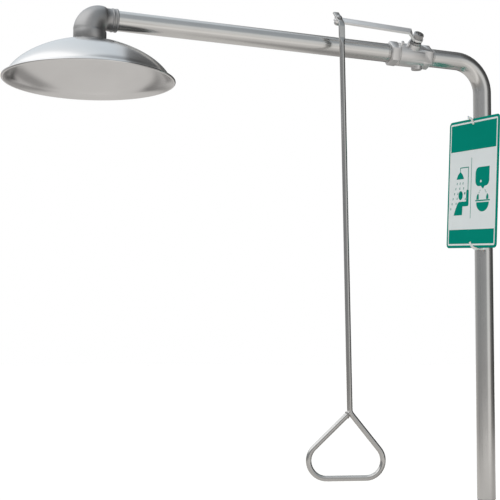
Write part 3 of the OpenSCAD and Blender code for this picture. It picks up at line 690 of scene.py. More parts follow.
def floor_material():
    """A plain pale floor. What metal mirrors of it is a warm grey, with soft dark flags far to the sides."""
    material = bpy.data.materials.new("pale_floor")
    material.use_nodes = True
    nodes, links = material.node_tree.nodes, material.node_tree.links
    principled = nodes["Principled BSDF"]
    principled.inputs["Base Color"].default_value = (0.86, 0.85, 0.83, 1)
    principled.inputs["Roughness"].default_value = 0.9
    principled.inputs["Emission Color"].default_value = (1.0, 0.99, 0.97, 1)
    principled.inputs["Emission Strength"].default_value = 0.45
    node, ramp, along, turn_share = stage_nodes(material.node_tree)

    def spread(value, low_end, high_end, stops):
        at = node("ShaderNodeMapRange", {"Value": value, "From Min": low_end, "From Max": high_end})
        return ramp(at.outputs[0], [(position, (tone,) * 3) for position, tone in stops])

    def mix(share, first, second, **settings):
        return node("ShaderNodeMix", {0: share, 6: first, 7: second}, data_type="RGBA", **settings).outputs[2]

    place = node("ShaderNodeTexCoord").outputs["Object"]
    off = node("ShaderNodeVectorMath", {0: place, 1: (-HEAD_X, 0.0, 0.0)}, operation="ADD").outputs[0]
    flags = spread(along(off, ACROSS), -4.0, 4.0, [
        (0.0, 0.25), (0.30, 0.30), (0.345, 0.40), (0.385, 1.0), (0.56, 1.0), (0.58, 0.50),
        (0.62, 0.50), (0.67, 0.85), (1.0, 0.8)])
    near = along(off, TOWARD)
    behind = spread(near, -0.5, 0.3, [(0.0, 1.0), (0.35, 1.0), (1.0, 0.0)])
    shade = mix(behind, (1.0, 1.0, 1.0, 1.0), flags)
    level = spread(near, 0.0, 2.0, [(0.0, 0.64), (0.3, 0.66), (0.55, 0.95), (1.0, 1.0)])
    close = mix(1.0, shade, level, blend_type="MULTIPLY")
    ring = spread(turn_share(along(place, ACROSS), along(place, TOWARD)), 0.0, 1.0,
                  [(position, colour[0]) for position, colour in LEVEL_TONES])
    reach = node("ShaderNodeVectorMath", {0: place}, operation="LENGTH").outputs["Value"]
    far = node("ShaderNodeMapRange", {"Value": reach, "From Min": 1.6, "From Max": 3.0})
    warm = mix(1.0, mix(far.outputs[0], close, ring), (1.02, 0.985, 0.95, 1.0), blend_type="MULTIPLY")
    glow = node("ShaderNodeEmission", {"Color": warm, "Strength": 1.0})
    direct = node("ShaderNodeLightPath").outputs["Is Camera Ray"]
    both = node("ShaderNodeMixShader", {0: direct, 1: glow.outputs[0], 2: principled.outputs[0]})
    links.new(both.outputs[0], nodes["Material Output"].inputs["Surface"])
    return material


class SHOWER_OT_stage(bpy.types.Operator):
    """Make the camera, the soft studio light and the plain pale floor"""
    bl_idname = "shower.stage"
    bl_label = "Stage"

    def execute(self, context):
        data = bpy.data.cameras.new("camera")
        data.lens = LENS
        data.sensor_width = 36
        camera = bpy.data.objects.new("camera", data)
        right, up, back = (Vector(v).normalized() for v in CAMERA_AIM)
        camera.matrix_world = Matrix.Translation(CAMERA_AT) @ Matrix((right, up, back)).transposed().to_4x4()
        context.scene.collection.objects.link(camera)
        context.scene.camera = camera
        context.scene.view_settings.view_transform = "Standard"
        studio_world()
        mesh = bpy.data.meshes.new("floor")
        # The floor lies below the lowest place that the handle reaches
        drop = 1.02 * (PIVOT - VALVE).length * abs(STEM.y)
        size, z = FLOOR_HALF, min(CAD_BOX[0][2], low("pull_handle", 2) - drop) - FLOOR_GAP
        mesh.from_pydata([(-size, -size, z), (size, -size, z), (size, size, z), (-size, size, z)],
                         [], [(0, 1, 2, 3)])
        mesh.materials.append(floor_material())
        floor = bpy.data.objects.new("floor", mesh)
        context.scene.collection.objects.link(floor)
        return {"FINISHED"}


# ---- Pipes and elbow ----

X, Y, Z = Vector((1, 0, 0)), Vector((0, 1, 0)), Vector((0, 0, 1))


def pipe_rings(stations, count):
    """Rings for (centre, way, radius) stations of a pipe that bends in the XZ plane."""
    rings = []
    for centre, way, radius in stations:
        side = Vector((way.z, 0, -way.x))
        rings.append(circle(centre, side, Y, radius, count))
    return rings


class SHOWER_OT_pipes(bpy.types.Operator):
    """Make the bent standpipe and the straight arm"""
    bl_idname = "shower.pipes"
    bl_label = "Pipes"

    def execute(self, context):
        sizes = context.scene.shower_sizes
        thread_core = 15.1 * MM
        path = [(Vector((0, 0, 0)), Z, thread_core - 0.8 * MM), (Vector((0, 0, 0.8 * MM)), Z, thread_core),
                (Vector((0, 0, THREAD_LEN - 1 * MM)), Z, thread_core),
                (Vector((0, 0, THREAD_LEN)), Z, PIPE_R - 0.3 * MM),
                (Vector((0, 0, THREAD_LEN + 0.3 * MM)), Z, PIPE_R)]
        for i in range(1, 21):
            path.append((Vector((0, 0, THREAD_LEN + (ARM_Z - BEND_R - THREAD_LEN) * i / 20)), Z, PIPE_R))
        for i in range(1, 25):
            t = math.radians(90 * i / 24)
            path.append((Vector((BEND_R * (math.cos(t) - 1), 0, ARM_Z - BEND_R + BEND_R * math.sin(t))),
                         Vector((-math.sin(t), 0, math.cos(t))), PIPE_R))
        end_x = low("standpipe", 0)
        for i in range(1, 5):
            path.append((Vector((-BEND_R + (end_x + BEND_R) * i / 4, 0, ARM_Z)), -X, PIPE_R))
        inside = [(c, w, PIPE_IN_R) for c, w, r in reversed(path) if r > thread_core - 0.1 * MM]
        inside.append((Vector((0, 0, 0)), Z, PIPE_IN_R))
        bm = bmesh.new()
        loft(bm, pipe_rings(path + inside, 80), loop=True)
        mesh = finish_mesh(bm, "standpipe_tube", [pipe_steel()])
        place_piece(mesh, "standpipe_tube", "frame", "pipe_steel", ["standpipe"])

        bm = bmesh.new()
        x0, x1 = low("arm_pipe", 0), high("arm_pipe", 0)
        outer = [(Vector((x0 + (x1 - x0) * i / 12, 0, ARM_Z)), X, PIPE_R) for i in range(13)]
        loft(bm, pipe_rings(outer + [(c, w, PIPE_IN_R) for c, w, r in reversed(outer)], 80), loop=True)
        mesh = finish_mesh(bm, "arm_tube", [pipe_steel()])
        place_piece(mesh, "arm_tube", "frame", "pipe_steel", ["arm_pipe"])

        turns = math.floor((THREAD_LEN - 2 * MM) / sizes.thread_pitch)
        mesh = grow(tree(thread_tree), "pipe_thread", {
            "Radius": thread_core + 0.25 * MM, "Pitch": sizes.thread_pitch, "Turns": float(turns),
            "Ridge": 1.15 * MM, "Finish": pipe_steel()})
        mesh.transform(Matrix.Translation((0, 0, 1.6 * MM)))
        place_piece(mesh, "pipe_thread", "frame", "pipe_steel")
        return {"FINISHED"}


class SHOWER_OT_elbow(bpy.types.Operator):
    """Make the cast elbow between the arm and the head"""
    bl_idname = "shower.elbow"
    bl_label = "Elbow"

    def execute(self, context):
        turn = 26 * MM
        arm_r, head_r = PIPE_R + 2.8 * MM, NIPPLE_R + 5.9 * MM
        neck_arm, neck_head = arm_r - 0.8 * MM, head_r - 1.5 * MM
        collar_top = ELBOW_LOW + 16 * MM
        at = Vector((HEAD_X, 0, 0))
        run = ELBOW_END - HEAD_X

        def up(z, r):
            return (at + Vector((0, 0, z)), Z, r)

        def along(x, r):
            return (at + Vector((x, 0, ARM_Z)), X, r)

        ease = 0.7 * MM
        stations = [up(ELBOW_LOW, NIPPLE_R), up(ELBOW_LOW, head_r - ease),
                    up(ELBOW_LOW + 0.3 * ease, head_r - 0.3 * ease),
                    up(ELBOW_LOW + ease, head_r), up(collar_top - 3 * ease, head_r),
                    up(collar_top - 2 * ease, head_r - 0.15 * MM)]
        for i in range(1, 25):
            share = i / 24
            t = math.radians(90 * share)
            belly = 2.4 * MM * math.sqrt(math.sin(2 * t)) if i < 24 else 0.0
            centre = at + Vector((turn - (turn + belly) * math.cos(t), 0,
                                  ARM_Z - turn + (turn + belly) * math.sin(t)))
            if centre.z < collar_top - ease and share < 0.3:
                continue
            soft = min(1.0, share * 6)
            radius = (neck_head + (neck_arm - neck_head) * share + belly
                      + (head_r - neck_head - 0.2 * MM) * (1 - soft) ** 2 * (share < 0.17))
            stations.append((centre, Vector((math.sin(t), 0, math.cos(t))), radius))
        ring = 3.2 * MM
        for x0, x1 in ((run - 3 * ring, run - 2 * ring), (run - ring, run)):
            stations += [along(x0 - 0.2 * MM, neck_arm), along(x0, arm_r - 0.3 * MM),
                         along(x0 + 0.4 * MM, arm_r), along(x1 - 0.4 * MM, arm_r),
                         along(x1, arm_r - 0.3 * MM)]
            if x1 < run:
                stations.append(along(x1 + 0.2 * MM, neck_arm))
        stations.append(along(run, PIPE_R + 0.05 * MM))
        inner = [along(run - 10 * MM, PIPE_R + 0.02 * MM), along(run - 18 * MM, PIPE_IN_R)]
        for i in range(12, -1, -1):
            t = math.radians(90 * i / 12)
            inner.append((at + Vector((turn * (1 - math.cos(t)), 0, ARM_Z - turn + turn * math.sin(t))),
                          Vector((math.sin(t), 0, math.cos(t))), PIPE_IN_R))
        bm = bmesh.new()
        loft(bm, pipe_rings(stations + inner, 72), loop=True)
        mesh = finish_mesh(bm, "cast_elbow", [cast_steel()], angle=50)
        place_piece(mesh, "cast_elbow", "frame", "cast_steel", ["elbow"])
        return {"FINISHED"}


# ---- Shower head ----

class SHOWER_OT_bowl(bpy.types.Operator):
    """Make the spun bowl with its flange and rolled bead"""
    bl_idname = "shower.bowl"
    bl_label = "Bowl"

    def execute(self, context):
        sizes = context.scene.shower_sizes
        bead, sheet, power = sizes.bead, sizes.sheet, sizes.bowl_round
        wall_r = RIM_R - 2 * bead - sizes.flange + sheet
        crown_r = NIPPLE_R + 5.9 * MM + 2 * MM
        hole_r = NIPPLE_R + 0.3 * MM
        tall = CROWN_Z - RIM_Z

        def share(f):
            return max(0.0, 1 - f ** power) ** (1 / power)

        full = share(crown_r / wall_r)
        steps = 40

        def wall(inset):
            points = []
            for i in range(steps + 1):
                f = full * (1 - math.cos(math.pi / 2 * i / steps))
                points.append(((wall_r - inset) * share(f), (tall - inset) * f / full))
            return points

        def flared(points, width, foot_z):
            """The wall swept out to the bead over its last few millimetres."""
            top = 9 * MM
            return [(r + width * (max(0.0, top - z) / (top - foot_z)) ** 1.8, z)
                    for r, z in points if z > foot_z]

        outer = flared(wall(0.0), 2.2 * MM, 3.1 * MM)
        inner = flared(wall(sheet), 4.2 * MM, 0.7 * MM)
        profile = list(reversed(outer))
        centre_r, centre_z = RIM_R - bead, bead
        start = math.radians(180 - 25)
        for i in range(25):
            t = start - math.radians(360 - 75) * i / 24
            profile.append((centre_r + bead * math.cos(t), centre_z + bead * math.sin(t)))
        profile += inner
        profile += [(hole_r, tall - sheet), (hole_r, tall)]
        bm = bmesh.new()
        turned(bm, profile, Vector((HEAD_X, 0, RIM_Z)), 160)
        mesh = finish_mesh(bm, "spun_bowl", [bowl_steel()], angle=45)
        place_piece(mesh, "spun_bowl", "frame", "spun_steel", ["shower_head"])
        return {"FINISHED"}


class SHOWER_OT_head_fittings(bpy.types.Operator):
    """Make the nipple's thread, the lock nut and the deflector with its screw"""
    bl_idname = "shower.head_fittings"
    bl_label = "Head fittings"

    def execute(self, context):
        sizes = context.scene.shower_sizes
        nut_low, nut_high = low("head_locknut", 2), high("head_locknut", 2)
        flats = min(high("head_locknut", a) - low("head_locknut", a) for a in (0, 1))
        mesh = grow(tree(nut_tree), "lock_nut", {
            "Across Flats": flats, "Height": nut_high - nut_low, "Hole": NIPPLE_R + 0.05 * MM,
            "Finish": bolt_steel()})
        mesh.transform(Matrix.Translation((HEAD_X, 0, nut_high)) @ Matrix.Rotation(math.pi, 4, "X"))
        mesh.shade_smooth()
        mesh.set_sharp_from_angle(angle=math.radians(30))
        place_piece(mesh, "lock_nut", "frame", "bolt_steel", ["head_locknut"])
        bottom = low("head_nipple", 2)
        turns = max(1.0, math.floor((nut_low - bottom) / sizes.thread_pitch))
        mesh = grow(tree(thread_tree), "nipple_thread", {
            "Radius": NIPPLE_R - 0.5 * MM, "Pitch": sizes.thread_pitch, "Turns": turns,
            "Ridge": 0.8 * MM, "Finish": bolt_steel()})
        mesh.transform(Matrix.Translation((HEAD_X, 0, bottom + 0.6 * MM)))
        place_piece(mesh, "nipple_thread", "frame", "pipe_steel")
        for node, name, material, slot in (
                ("deflector", "deflector_disc", bowl_steel_plain(), "spun_steel"),
                ("deflector_screw", "deflector_bolt", bolt_steel(), "bolt_steel")):
            place_piece(eased_copy(node, name, [material], 0.35 * MM), name, "frame", slot, [node])
        return {"FINISHED"}


def bowl_steel_plain():
    return finish("disc_steel", bpy.context.scene.shower_finish.bowl, grain_group,
                  {"Fineness": 700.0, "Marks": 30.0, "Rough Low": 0.2, "Rough High": 0.3}, vary=0.05)


# ---- Valve ----

class SHOWER_OT_valve(bpy.types.Operator):
    """Make the cast valve body, its end cap and the gland nut"""
    bl_idname = "shower.valve"
    bl_label = "Valve"

    def execute(self, context):
        sizes = context.scene.shower_sizes
        for node, name, width in (("valve_body", "valve_casting", 0.7 * MM),
                                  ("valve_end_cap", "valve_cap", 0.6 * MM)):
            mesh = eased_copy(node, name, [valve_steel()], width, segments=3)
            place_piece(mesh, name, "frame", "cast_steel", [node])
        mesh = eased_copy("gland_nut", "packing_gland", [bolt_steel()], 0.4 * MM)
        place_piece(mesh, "packing_gland", "frame", "bolt_steel", ["gland_nut"])
        turns = 3.0
        for name, x, flip in (("outlet_thread", VALVE_OUT, 1), ("inlet_thread", VALVE_IN, -1)):
            mesh = grow(tree(thread_tree), name, {
                "Radius": PIPE_R - 0.35 * MM, "Pitch": sizes.thread_pitch, "Turns": turns,
                "Ridge": 0.8 * MM, "Finish": bolt_steel()})
            mesh.transform(Matrix.Translation((x + flip * 0.5 * MM, 0, ARM_Z))
                           @ Matrix.Rotation(flip * math.pi / 2, 4, "Y"))
            place_piece(mesh, name, "frame", "pipe_steel")
        return {"FINISHED"}


# ---- Lever and its fasteners ----

def stem_place(origin, turn=0.0):
    """The frame of things that stand along the stem, turned about it."""
    side = Y - STEM * Y.dot(STEM)
    side.normalize()
    across = side.cross(STEM)
    base = Matrix((across, side, STEM)).transposed().to_4x4()
    return Matrix.Translation(origin) @ base @ Matrix.Rotation(turn, 4, "Z")


def stem_span(node):
    """Where a node starts and ends along the stem's own direction, from the valve's centre."""
    heights = [(v.co - VALVE).dot(STEM) for v in frame["nodes"][node].data.vertices]
    return min(heights), max(heights)


class SHOWER_OT_lever(bpy.types.Operator):
    """Make the folded lever strip with its hub, and the nuts and bolt on it"""
    bl_idname = "shower.lever"
    bl_label = "Lever"

    def execute(self, context):
        mesh = eased_copy("lever", "lever_strip", [lever_steel()], 0.7 * MM, angle=20, segments=3)
        place_piece(mesh, "lever_strip", "lever", "lever_steel", ["lever"])
        self.nut("lever_nut", "hub_nut", VALVE, 4.55 * MM, math.radians(12))
        self.nut("pivot_nut", "bolt_nut", PIVOT, 3.05 * MM, math.radians(20), flip=True)
        start, end = stem_span("pivot_bolt")
        along = (PIVOT - VALVE).dot(STEM)
        bottom, top = start - along, end - along
        place = stem_place(PIVOT)
        bm = bmesh.new()
        shank_and_head = (
            (bottom, 2.3 * MM), (bottom + 0.6 * MM, 2.9 * MM), (top - 2.4 * MM, 2.9 * MM),
            (top - 2.4 * MM, 4.7 * MM), (top - 2.1 * MM, 4.8 * MM), (top - 1.2 * MM, 4.2 * MM),
            (top - 0.4 * MM, 3.1 * MM), (top, 1.9 * MM))
        loft(bm, [[place @ (p + Vector((0, 0, h))) for p in circle(Vector(), X, Y, r, 40)]
                  for h, r in shank_and_head])
        mesh = finish_mesh(bm, "pivot_bolt_turned", [bolt_steel()], angle=30)
        place_piece(mesh, "pivot_bolt_turned", "lever", "bolt_steel", ["pivot_bolt"])
        for node, name in (("lever_spring_washer", "hub_washer"), ("pivot_washers", "bolt_washers")):
            washer = eased_copy(node, name, [bolt_steel()], 0.25 * MM)
            place_piece(washer, name, "lever", "bolt_steel", [node])
        end = stem_span("valve_stem")[1]
        mesh = grow(tree(thread_tree), "stem_thread", {
            "Radius": 4.35 * MM, "Pitch": 1.0 * MM, "Turns": 2.0, "Ridge": 0.35 * MM, "Finish": bolt_steel()})
        mesh.transform(stem_place(VALVE + STEM * (end - 2.4 * MM)))
        place_piece(mesh, "stem_thread", "lever", "bolt_steel")
        return {"FINISHED"}

    def nut(self, node, name, origin, hole, turn, flip=False):
        start, end = stem_span(node)
        corner = max(((v.co - origin) - STEM * (v.co - origin).dot(STEM)).length
                     for v in frame["nodes"][node].data.vertices)
        mesh = grow(tree(nut_tree), name, {
            "Across Flats": 2 * corner * math.cos(math.radians(30)), "Height": end - start, "Hole": hole,
            "Finish": bolt_steel()})
        along = (origin - VALVE).dot(STEM)
        if flip:
            mesh.transform(stem_place(origin + STEM * (end - along), turn) @ Matrix.Rotation(math.pi, 4, "X"))
        else:
            mesh.transform(stem_place(origin + STEM * (start - along), turn))
        mesh.shade_smooth()
        mesh.set_sharp_from_angle(angle=math.radians(30))
        place_piece(mesh, name, "lever", "bolt_steel", [node])


# ---- Rod and handle ----

# From the bolt to where the rod's flat end folds down, past the lever's edge, and the fold's own run
FOLD_OUT = 15.25 * MM
FOLD_Y, FOLD_Z = 1.5 * MM, 2 * MM


def rod_frame(lean):
    """The start of the rod's axis beside the bolt, its side and its way up."""
    start = PIVOT + Vector((0, -FOLD_OUT * STEM.z - FOLD_Y, FOLD_OUT * STEM.y + FOLD_Z))
    side = Vector((math.cos(lean), 0, math.sin(lean)))
    up = Vector((-math.sin(lean), 0, math.cos(lean)))
    return start, side, up


def rounded_box(width, thick, radius, count):
    """A rounded rectangle of points as (across, through)."""
    points = []
    radius = min(radius, width / 2 - 1e-6, thick / 2 - 1e-6)
    per = count // 4
    for corner in range(4):
        cx = (width / 2 - radius) * (1 if corner in (0, 3) else -1)
        cy = (thick / 2 - radius) * (1 if corner in (0, 1) else -1)
        for i in range(per):
            t = math.pi / 2 * (corner + i / (per - 1) * 0.999)
            points.append((cx + radius * math.cos(t), cy + radius * math.sin(t)))
    return points


class SHOWER_OT_rod(bpy.types.Operator):
    """Make the pull rod, drawn from its flattened and folded eye to the round bar"""
    bl_idname = "shower.rod"
    bl_label = "Pull rod"

    def execute(self, context):
        sizes = context.scene.shower_sizes
        radius = sizes.rod_radius
        start, side, up = rod_frame(sizes.rod_lean)
        out = -(Y - STEM * Y.dot(STEM)).normalized()
        eye_t, count = 3.5 * MM, 32
        stations = []
        for d, w, t in ((-18, 10.4, 2.9), (-17.7, 11, 3.5), (-8, 11, 3.5), (0, 11, 3.5), (8, 11, 3.5)):
            stations.append((PIVOT + out * d * MM + STEM * eye_t / 2, X, STEM, w * MM, t * MM, 0.6 * MM))
        a = PIVOT + out * 9.5 * MM + STEM * eye_t / 2
        b = start - up * 7 * MM
        knee = PIVOT + out * 15.0 * MM + STEM * eye_t / 2
        steps = 12
        for i in range(1, steps + 1):
            s = i / steps
            centre = a * (1 - s) ** 2 + knee * (2 * s * (1 - s)) + b * s ** 2
            way = ((knee - a) * (1 - s) + (b - knee) * s).normalized()
            across = (X * (1 - s) + side * s).normalized()
            through = way.cross(across).normalized()
            if through.dot(STEM) < 0 and s < 0.5:
                through = -through
            if s >= 0.5 and through.dot(-Y) < 0:
                through = -through
            stations.append((centre, across, through, 11 * MM, eye_t + (0.9 * radius - eye_t) * s, 0.9 * MM))
        stations.append((start - up * 26 * MM, side, -Y, 11 * MM, 0.9 * radius, 1.2 * MM))
        for i in range(1, 9):
            s = i / 8
            soft = s * s * (3 - 2 * s)
            stations.append((start - up * (26 + 12 * s) * MM, side, -Y,
                             11 * MM + (2 * radius - 11 * MM) * soft,
                             0.9 * radius + 1.1 * radius * soft, 1.2 * MM + (radius - 1.2 * MM) * soft))
        end = (start.z - high("pull_handle", 2)) / up.z
        for i in range(1, 9):
            stations.append((start - up * (38 * MM + (end - 38 * MM) * i / 8), side, -Y,
                             2 * radius, 2 * radius, radius))
        rings = [[c + u * x + v * y for x, y in rounded_box(w, t, r, count)] for c, u, v, w, t, r in stations]
        bm = bmesh.new()
        loft(bm, rings)
        mesh = finish_mesh(bm, "drawn_rod", [rod_steel()], angle=40)
        place_piece(mesh, "drawn_rod", "rod", "rod_steel", ["pull_rod"])
        return {"FINISHED"}


HANDLE_OUT, HANDLE_IN = math.radians(43.5), math.radians(52.4)
HANDLE_TWIST = math.radians(22)
HANDLE_DROP, HANDLE_CORNER, HANDLE_BEND = 111 * MM, 30 * MM, 14 * MM


def handle_path():
    """Points (across, up) of the handle's wire from the rod's end round to its apex."""
    out_slope, in_slope = HANDLE_OUT, HANDLE_IN
    corner, first, drop = HANDLE_CORNER, HANDLE_BEND, -HANDLE_DROP
    turn = math.pi / 2 - in_slope
    begin = first * math.tan(turn / 2)
    points = [(0.0, begin)]

    def arc(cx, cz, r, a0, a1, n):
        for i in range(n + 1):
            t = a0 + (a1 - a0) * i / n
            points.append((cx + r * math.cos(t), cz + r * math.sin(t)))

    arc(first, begin, first, math.pi, math.pi + turn, 8)
    in_x = -drop / math.tan(in_slope) - corner / math.tan(in_slope / 2)
    arc(in_x, drop + corner, corner, math.pi / 2 - in_slope, -math.pi / 2, 20)
    out_x = drop / math.tan(out_slope) + corner / math.tan(out_slope / 2)
    arc(out_x, drop + corner, corner, -math.pi / 2, -math.pi * 1.5 + out_slope, 20)
    points.append((0.0, 0.0))
    clean = [points[0]]
    for point in points[1:]:
        if math.dist(point, clean[-1]) > 0.05 * MM:
            clean.append(point)
    return clean


class SHOWER_OT_handle(bpy.types.Operator):
    """Make the bent loop handle and the weld at its apex"""
    bl_idname = "shower.handle"
    bl_label = "Pull handle"

    def execute(self, context):
        sizes = context.scene.shower_sizes
        start, side, up = rod_frame(sizes.rod_lean)
        begin = HANDLE_BEND * math.tan((math.pi / 2 - HANDLE_IN) / 2)
        apex = start - up * ((start.z - high("pull_handle", 2)) / up.z + begin)
        place = (Matrix.Translation(apex) @ Matrix((side, Y, up)).transposed().to_4x4()
                 @ Matrix.Rotation(-HANDLE_TWIST, 4, "Z"))
        curve = bpy.data.curves.new("handle_path", "CURVE")
        curve.dimensions = "3D"
        spline = curve.splines.new("POLY")
        path = handle_path()
        spline.points.add(len(path) - 1)
        for point, (x, z) in zip(spline.points, path):
            point.co = (x, 0, z, 1)
        mesh = grow(tree(wire_tree), "loop_handle", {
            "Radius": sizes.rod_radius, "Sides": 32, "Finish": rod_steel()}, curve)
        mesh.transform(place)
        mesh.shade_smooth()
        mesh.set_sharp_from_angle(angle=math.radians(40))
        place_piece(mesh, "loop_handle", "rod", "rod_steel", ["pull_handle"])

        lean = HANDLE_OUT
        leg = Vector((-math.cos(lean), 0, -math.sin(lean)))
        cross = Vector((-math.sin(lean), 0, math.cos(lean)))
        curve = bpy.data.curves.new("weld_path", "CURVE")
        curve.dimensions = "3D"
        spline = curve.splines.new("POLY")
        count = 40
        spline.points.add(count - 1)
        spline.use_cyclic_u = True
        for i, point in enumerate(spline.points):
            t = 2 * math.pi * i / count
            ring = (cross * math.cos(t) + Y * math.sin(t)) * sizes.rod_radius * 0.98
            slide = (5.6 - 1.6 * math.cos(t) + 1.1 * math.cos(2 * t)) * MM
            point.co = list(leg * slide + ring) + [1]
        size = sizes.weld
        mesh = grow(tree(bead_tree), "apex_weld", {
            "Spacing": 1.1 * MM, "Size": (size, size, 0.8 * size), "Finish": weld_steel()}, curve)
        mesh.transform(place)
        mesh.shade_smooth()
        place_piece(mesh, "apex_weld", "rod", "rod_steel")
        return {"FINISHED"}


# ---- Sign and ties ----

SIGN_DROP = 227.5 * MM
SIGN_SLANT = math.radians(4)
SIGN_W, SIGN_H, SIGN_T = 165 * MM, 243 * MM, 2 * MM
SIGN_Y = 5 * MM
TIE_W, TIE_T = 4.8 * MM, 1.4 * MM
TIE_R = PIPE_R + 0.2 * MM
SIGN_BACK = TIE_R + TIE_T + 0.4 * MM
HOLE_IN = 11 * MM


def sign_place():
    """The sign's own frame: X out of its back, Y across it and Z up it."""
    return (Matrix.Translation((0, 0, ARM_Z - SIGN_DROP))
            @ Matrix.Translation((-SIGN_BACK, SIGN_Y, 0)) @ Matrix.Rotation(SIGN_SLANT, 4, "X"))


def round_rect(x0, x1, z0, z1, r, steps=6):
    """A rounded rectangle outline in millimetres, read from the sign's front: x to the right."""
    points = []
    corners = ((x1 - r, z1 - r, 0), (x0 + r, z1 - r, 90), (x0 + r, z0 + r, 180), (x1 - r, z0 + r, 270))
    for cx, cz, a in corners:
        for i in range(steps + 1):
            t = math.radians(a + 90 * i / steps)
            points.append((cx + r * math.cos(t), cz + r * math.sin(t)))
    return points


def disc(cx, cz, rx, rz, steps=28):
    return [(cx + rx * math.cos(2 * math.pi * i / steps), cz + rz * math.sin(2 * math.pi * i / steps))
            for i in range(steps)]


def bar(x0, z0, x1, z1, w):
    """A straight bar of a pictogram between two points."""
    length = math.hypot(x1 - x0, z1 - z0)
    nx, nz = -(z1 - z0) / length * w / 2, (x1 - x0) / length * w / 2
    return [(x0 + nx, z0 + nz), (x0 - nx, z0 - nz), (x1 - nx, z1 - nz), (x1 + nx, z1 + nz)]


WHITE, PALE, GREEN = 0, 1, 2


def print_layers():
    """Outlines of the print, each with its ink and its layer."""
    hw, hh = SIGN_W / MM / 2, SIGN_H / MM / 2
    shapes = []

    def add(outline, ink=GREEN, layer=2):
        shapes.append((outline, ink, layer))

    # Border, pale middle, the green fields above and below it, and the line between the pictograms
    add(round_rect(-hw + 4.8, hw - 4.8, -hh + 4.8, hh - 4.8, 3), WHITE, 0)
    add(round_rect(-hw + 7.6, hw - 7.6, -hh + 36.5, hh - 60.5, 0.6), PALE, 1)
    add(round_rect(-hw + 7.8, hw - 7.8, hh - 59, hh - 8, 0.6))
    add(round_rect(-hw + 7.8, hw - 7.8, -hh + 8, -hh + 35, 0.6))
    add(bar(-3, 48, -3, -66, 1.4))
    # A shower on its pipe, and its drops
    add(bar(-13, 31.8, -13, -14, 2.0))
    add(bar(-13.8, 31, -41, 31, 1.8))
    add(bar(-40.2, 31.8, -40.2, 20, 2.0), layer=3)
    add([(-38, 22.5), (-42.5, 22.5), (-48, 18), (-52.5, 11), (-52.5, 9.5), (-28, 9.5), (-28, 11),
         (-32.5, 18)])
    for row, (count, width, left) in enumerate(
            ((3, 20, -50), (3, 27, -54), (4, 34, -58), (2, 14, -63), (2, 14, -66), (1, 0, -70))):
        for i in range(count):
            x = left + (width * i / (count - 1) if count > 1 else 0)
            z = 3.5 - 9.5 * row
            add(bar(x, z, x - 0.8, z - 4.4, 2.0))
    add(bar(-22, -16, -22.6, -20, 2.0))
    add(bar(-21, -27, -21.6, -31, 2.0))
    # The person under it
    add(disc(-37.5, -21.5, 7.4, 8.6))
    add(round_rect(-18.5, -10, -42, -11.5, 3.4))
    add([(-47, -36), (-42, -33.5), (-15, -33.5), (-10.2, -37), (-12, -42.5), (-30, -42.5), (-31, -59),
         (-60, -59), (-54, -47)], layer=3)
    # A face over an eyewash, with its two jets and its bowl
    add([(56, 28.5)] + round_rect(11, 56, -7, 28.5, 11)[7:])
    add([(29, -6.8), (42, -6.8), (36.5, -12.5)], layer=3)
    add(disc(29, 2, 2.4, 2.4, 16), PALE, 4)
    for x, s in ((20, 1), (51, -1)):
        add([(x - 3.8, -32), (x + 3.8, -32), (x + 3.4, -25), (x + s * 1.5 + 1, -21), (x - 1, -22),
             (x - 3.4, -26)])
        for i in range(2):
            add(bar(x + s * (3.5 + 2.8 * i), -20 + 3.4 * i, x + s * (5.2 + 2.8 * i), -17.6 + 3.4 * i, 1.2))
    add(round_rect(12.5, 59.5, -35, -32.6, 1.1))
    bowl = [(36 + 20.5 * math.cos(math.radians(a)), -37 + 17.5 * math.sin(math.radians(a)))
            for a in range(-8, -180, -14)]
    add([(15.5, -37), (56.5, -37)] + bowl)
    return shapes


class SHOWER_OT_sign(bpy.types.Operator):
    """Make the sign's plate with its printed border, panels and pictograms"""
    bl_idname = "shower.sign"
    bl_label = "Sign"

    def execute(self, context):
        plate = eased_copy("sign_plate", "sign_board", [sign_green()], 0.4 * MM)
        place_piece(plate, "sign_board", "frame", "sign_plastic", ["sign_plate"])
        bm = bmesh.new()
        place = sign_place()
        for outline, ink, layer in print_layers():
            near = -SIGN_T - (0.05 + 0.04 * layer) * MM
            points = [(-x * MM, z * MM) for x, z in outline]
            prism(bm, points, near, -SIGN_T + 0.02 * MM, place, ink)
        mesh = bpy.data.meshes.new("sign_print")
        bm.to_mesh(mesh)
        bm.free()
        for material in (sign_white(), sign_panel(), sign_green()):
            mesh.materials.append(material)
        place_piece(mesh, "sign_print", "frame", "sign_print_white")
        return {"FINISHED"}


TIE_SIDE = 12 * MM
TIE_HEAD_TURN = math.radians(35)


def tie_spots(up):
    """Where a tie passes the hole and the sign's edge, and the angles where it leaves its ring."""
    x = -SIGN_BACK + 0.2 * MM + TIE_T / 2
    hole_z = up * (SIGN_H / 2 - HOLE_IN)
    hole = Vector((x, SIGN_Y - hole_z * math.sin(SIGN_SLANT), hole_z))
    over = Vector((x, up * TIE_SIDE, up * (SIGN_H / 2 + 3 * MM)))
    meets = [math.atan2(-spot.y, -spot.x) + way * math.acos((TIE_R + TIE_T / 2) / math.hypot(spot.x, spot.y))
             for spot, way in ((hole, up), (over, -up))]
    return hole, over, meets[0], meets[1]


